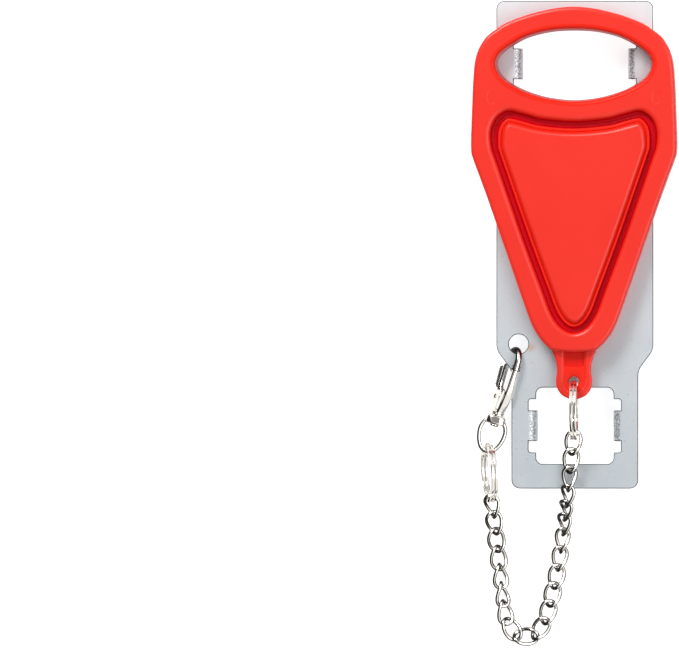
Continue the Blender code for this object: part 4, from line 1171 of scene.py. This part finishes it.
def white_floor():
    """Matt white paper: it takes the soft shadow, and is white to the camera and in reflections."""
    made = bpy.data.materials.new("studio_floor")
    made.use_nodes = True
    tree = made.node_tree
    tree.nodes.remove(tree.nodes["Principled BSDF"])
    paper = add(tree, "ShaderNodeBsdfDiffuse", {"Color": colour("#D9D9D9")})
    ray = add(tree, "ShaderNodeLightPath").outputs
    mirrored = maths(tree, "MULTIPLY", ray["Is Glossy Ray"], FLOOR_MIRRORED)
    seen = maths(tree, "MAXIMUM", ray["Is Camera Ray"], mirrored)
    shown = maths(tree, "MAXIMUM", seen, ray["Is Transmission Ray"])
    glow = maths(tree, "MULTIPLY", shown, FLOOR_SHOWN)
    lit = add(tree, "ShaderNodeEmission", {"Strength": glow})
    both = add(tree, "ShaderNodeAddShader", {0: paper.outputs[0], 1: lit.outputs[0]})
    tree.links.new(both.outputs[0], tree.nodes["Material Output"].inputs["Surface"])
    return made


def make_floor():
    """A round white floor just under the claws."""
    bm = bmesh.new()
    bmesh.ops.create_circle(bm, cap_ends=True, segments=64, radius=FLOOR_RADIUS)
    bmesh.ops.translate(bm, vec=(0, 0, cad_box[0][2] - FLOOR_GAP), verts=bm.verts)
    floor = fine(bm, "studio_floor")
    floor.data.materials.append(white_floor())


def make_world():
    """What the metal mirrors: a white ceiling, a black flag at the left, and a grey shade above.

    Diffuse surfaces take a plainer level from the same sky.
    """
    world = bpy.data.worlds.new("studio_sky")
    bpy.context.scene.world = world
    world.use_nodes = True
    tree = world.node_tree
    towards = add(tree, "ShaderNodeTexCoord").outputs["Generated"]
    up = add(tree, "ShaderNodeSeparateXYZ", {"Vector": towards}).outputs["Z"]
    ceiling = ramp(tree, up, 0.05, 0.25, 0.05, 1.0, "SMOOTHSTEP")
    aside = vector_maths(tree, "DOT_PRODUCT", towards, FLAG_TOWARDS).outputs["Value"]
    flag = ramp(tree, aside, 0.24, 0.42, 1.0, FLAG_LEVEL, "SMOOTHSTEP")
    over = vector_maths(tree, "SUBTRACT", towards, SHADE_TOWARDS).outputs[0]
    scaled = vector_maths(tree, "MULTIPLY", over, SHADE_SCALE).outputs[0]
    off = add(tree, "ShaderNodeVectorMath", {0: scaled}, operation="LENGTH").outputs["Value"]
    shade = ramp(tree, off, 0.80, 1.10, SHADE_LEVEL, 1.0, "SMOOTHSTEP")
    sky = maths(tree, "MULTIPLY", maths(tree, "MULTIPLY", ceiling, flag), shade)
    plain = maths(tree, "MULTIPLY", ceiling, PLAIN_LEVEL)
    ray = add(tree, "ShaderNodeLightPath").outputs
    mirrored = maths(tree, "MAXIMUM", ray["Is Glossy Ray"], ray["Is Transmission Ray"])
    lit = add(tree, "ShaderNodeMix", {"Factor": mirrored, "A": plain, "B": sky}).outputs["Result"]
    level = add(tree, "ShaderNodeMix", {"Factor": ray["Is Camera Ray"], "A": lit, "B": 1.0})
    back = tree.nodes["Background"]
    back.inputs["Color"].default_value = (1, 1, 1, 1)
    tree.links.new(level.outputs["Result"], back.inputs["Strength"])


def area_light(name, place, side, watts):
    """A square soft light that faces the lock."""
    lamp = bpy.data.lights.new(name, "AREA")
    lamp.shape = "RECTANGLE"
    lamp.size = lamp.size_y = side
    lamp.energy = watts
    holder = bpy.data.objects.new(name, lamp)
    bpy.context.scene.collection.objects.link(holder)
    holder.location = place
    holder.rotation_euler = (-Vector(place)).to_track_quat("-Z", "Y").to_euler()


def make_camera():
    """Straight above, a little to the right of upright, on a long lens."""
    eye = bpy.data.cameras.new("camera")
    eye.lens = LENS
    eye.sensor_width = SENSOR
    holder = bpy.data.objects.new("camera", eye)
    bpy.context.scene.collection.objects.link(holder)
    target = Vector((*FRAME_CENTRE, HANDLE_FACE / 2))
    lean = math.radians(CAMERA_LEAN)
    backwards = Vector((math.sin(lean), 0, math.cos(lean)))
    holder.location = target + backwards * FRAME_WIDTH * LENS / SENSOR
    holder.rotation_euler = (0, lean, 0)
    eye.clip_start, eye.clip_end = CAMERA_CLIP
    bpy.context.scene.camera = holder


make_floor()
make_world()
for lamp in LAMPS:
    area_light(*lamp)
make_camera()
bpy.context.scene.view_settings.view_transform = "Standard"
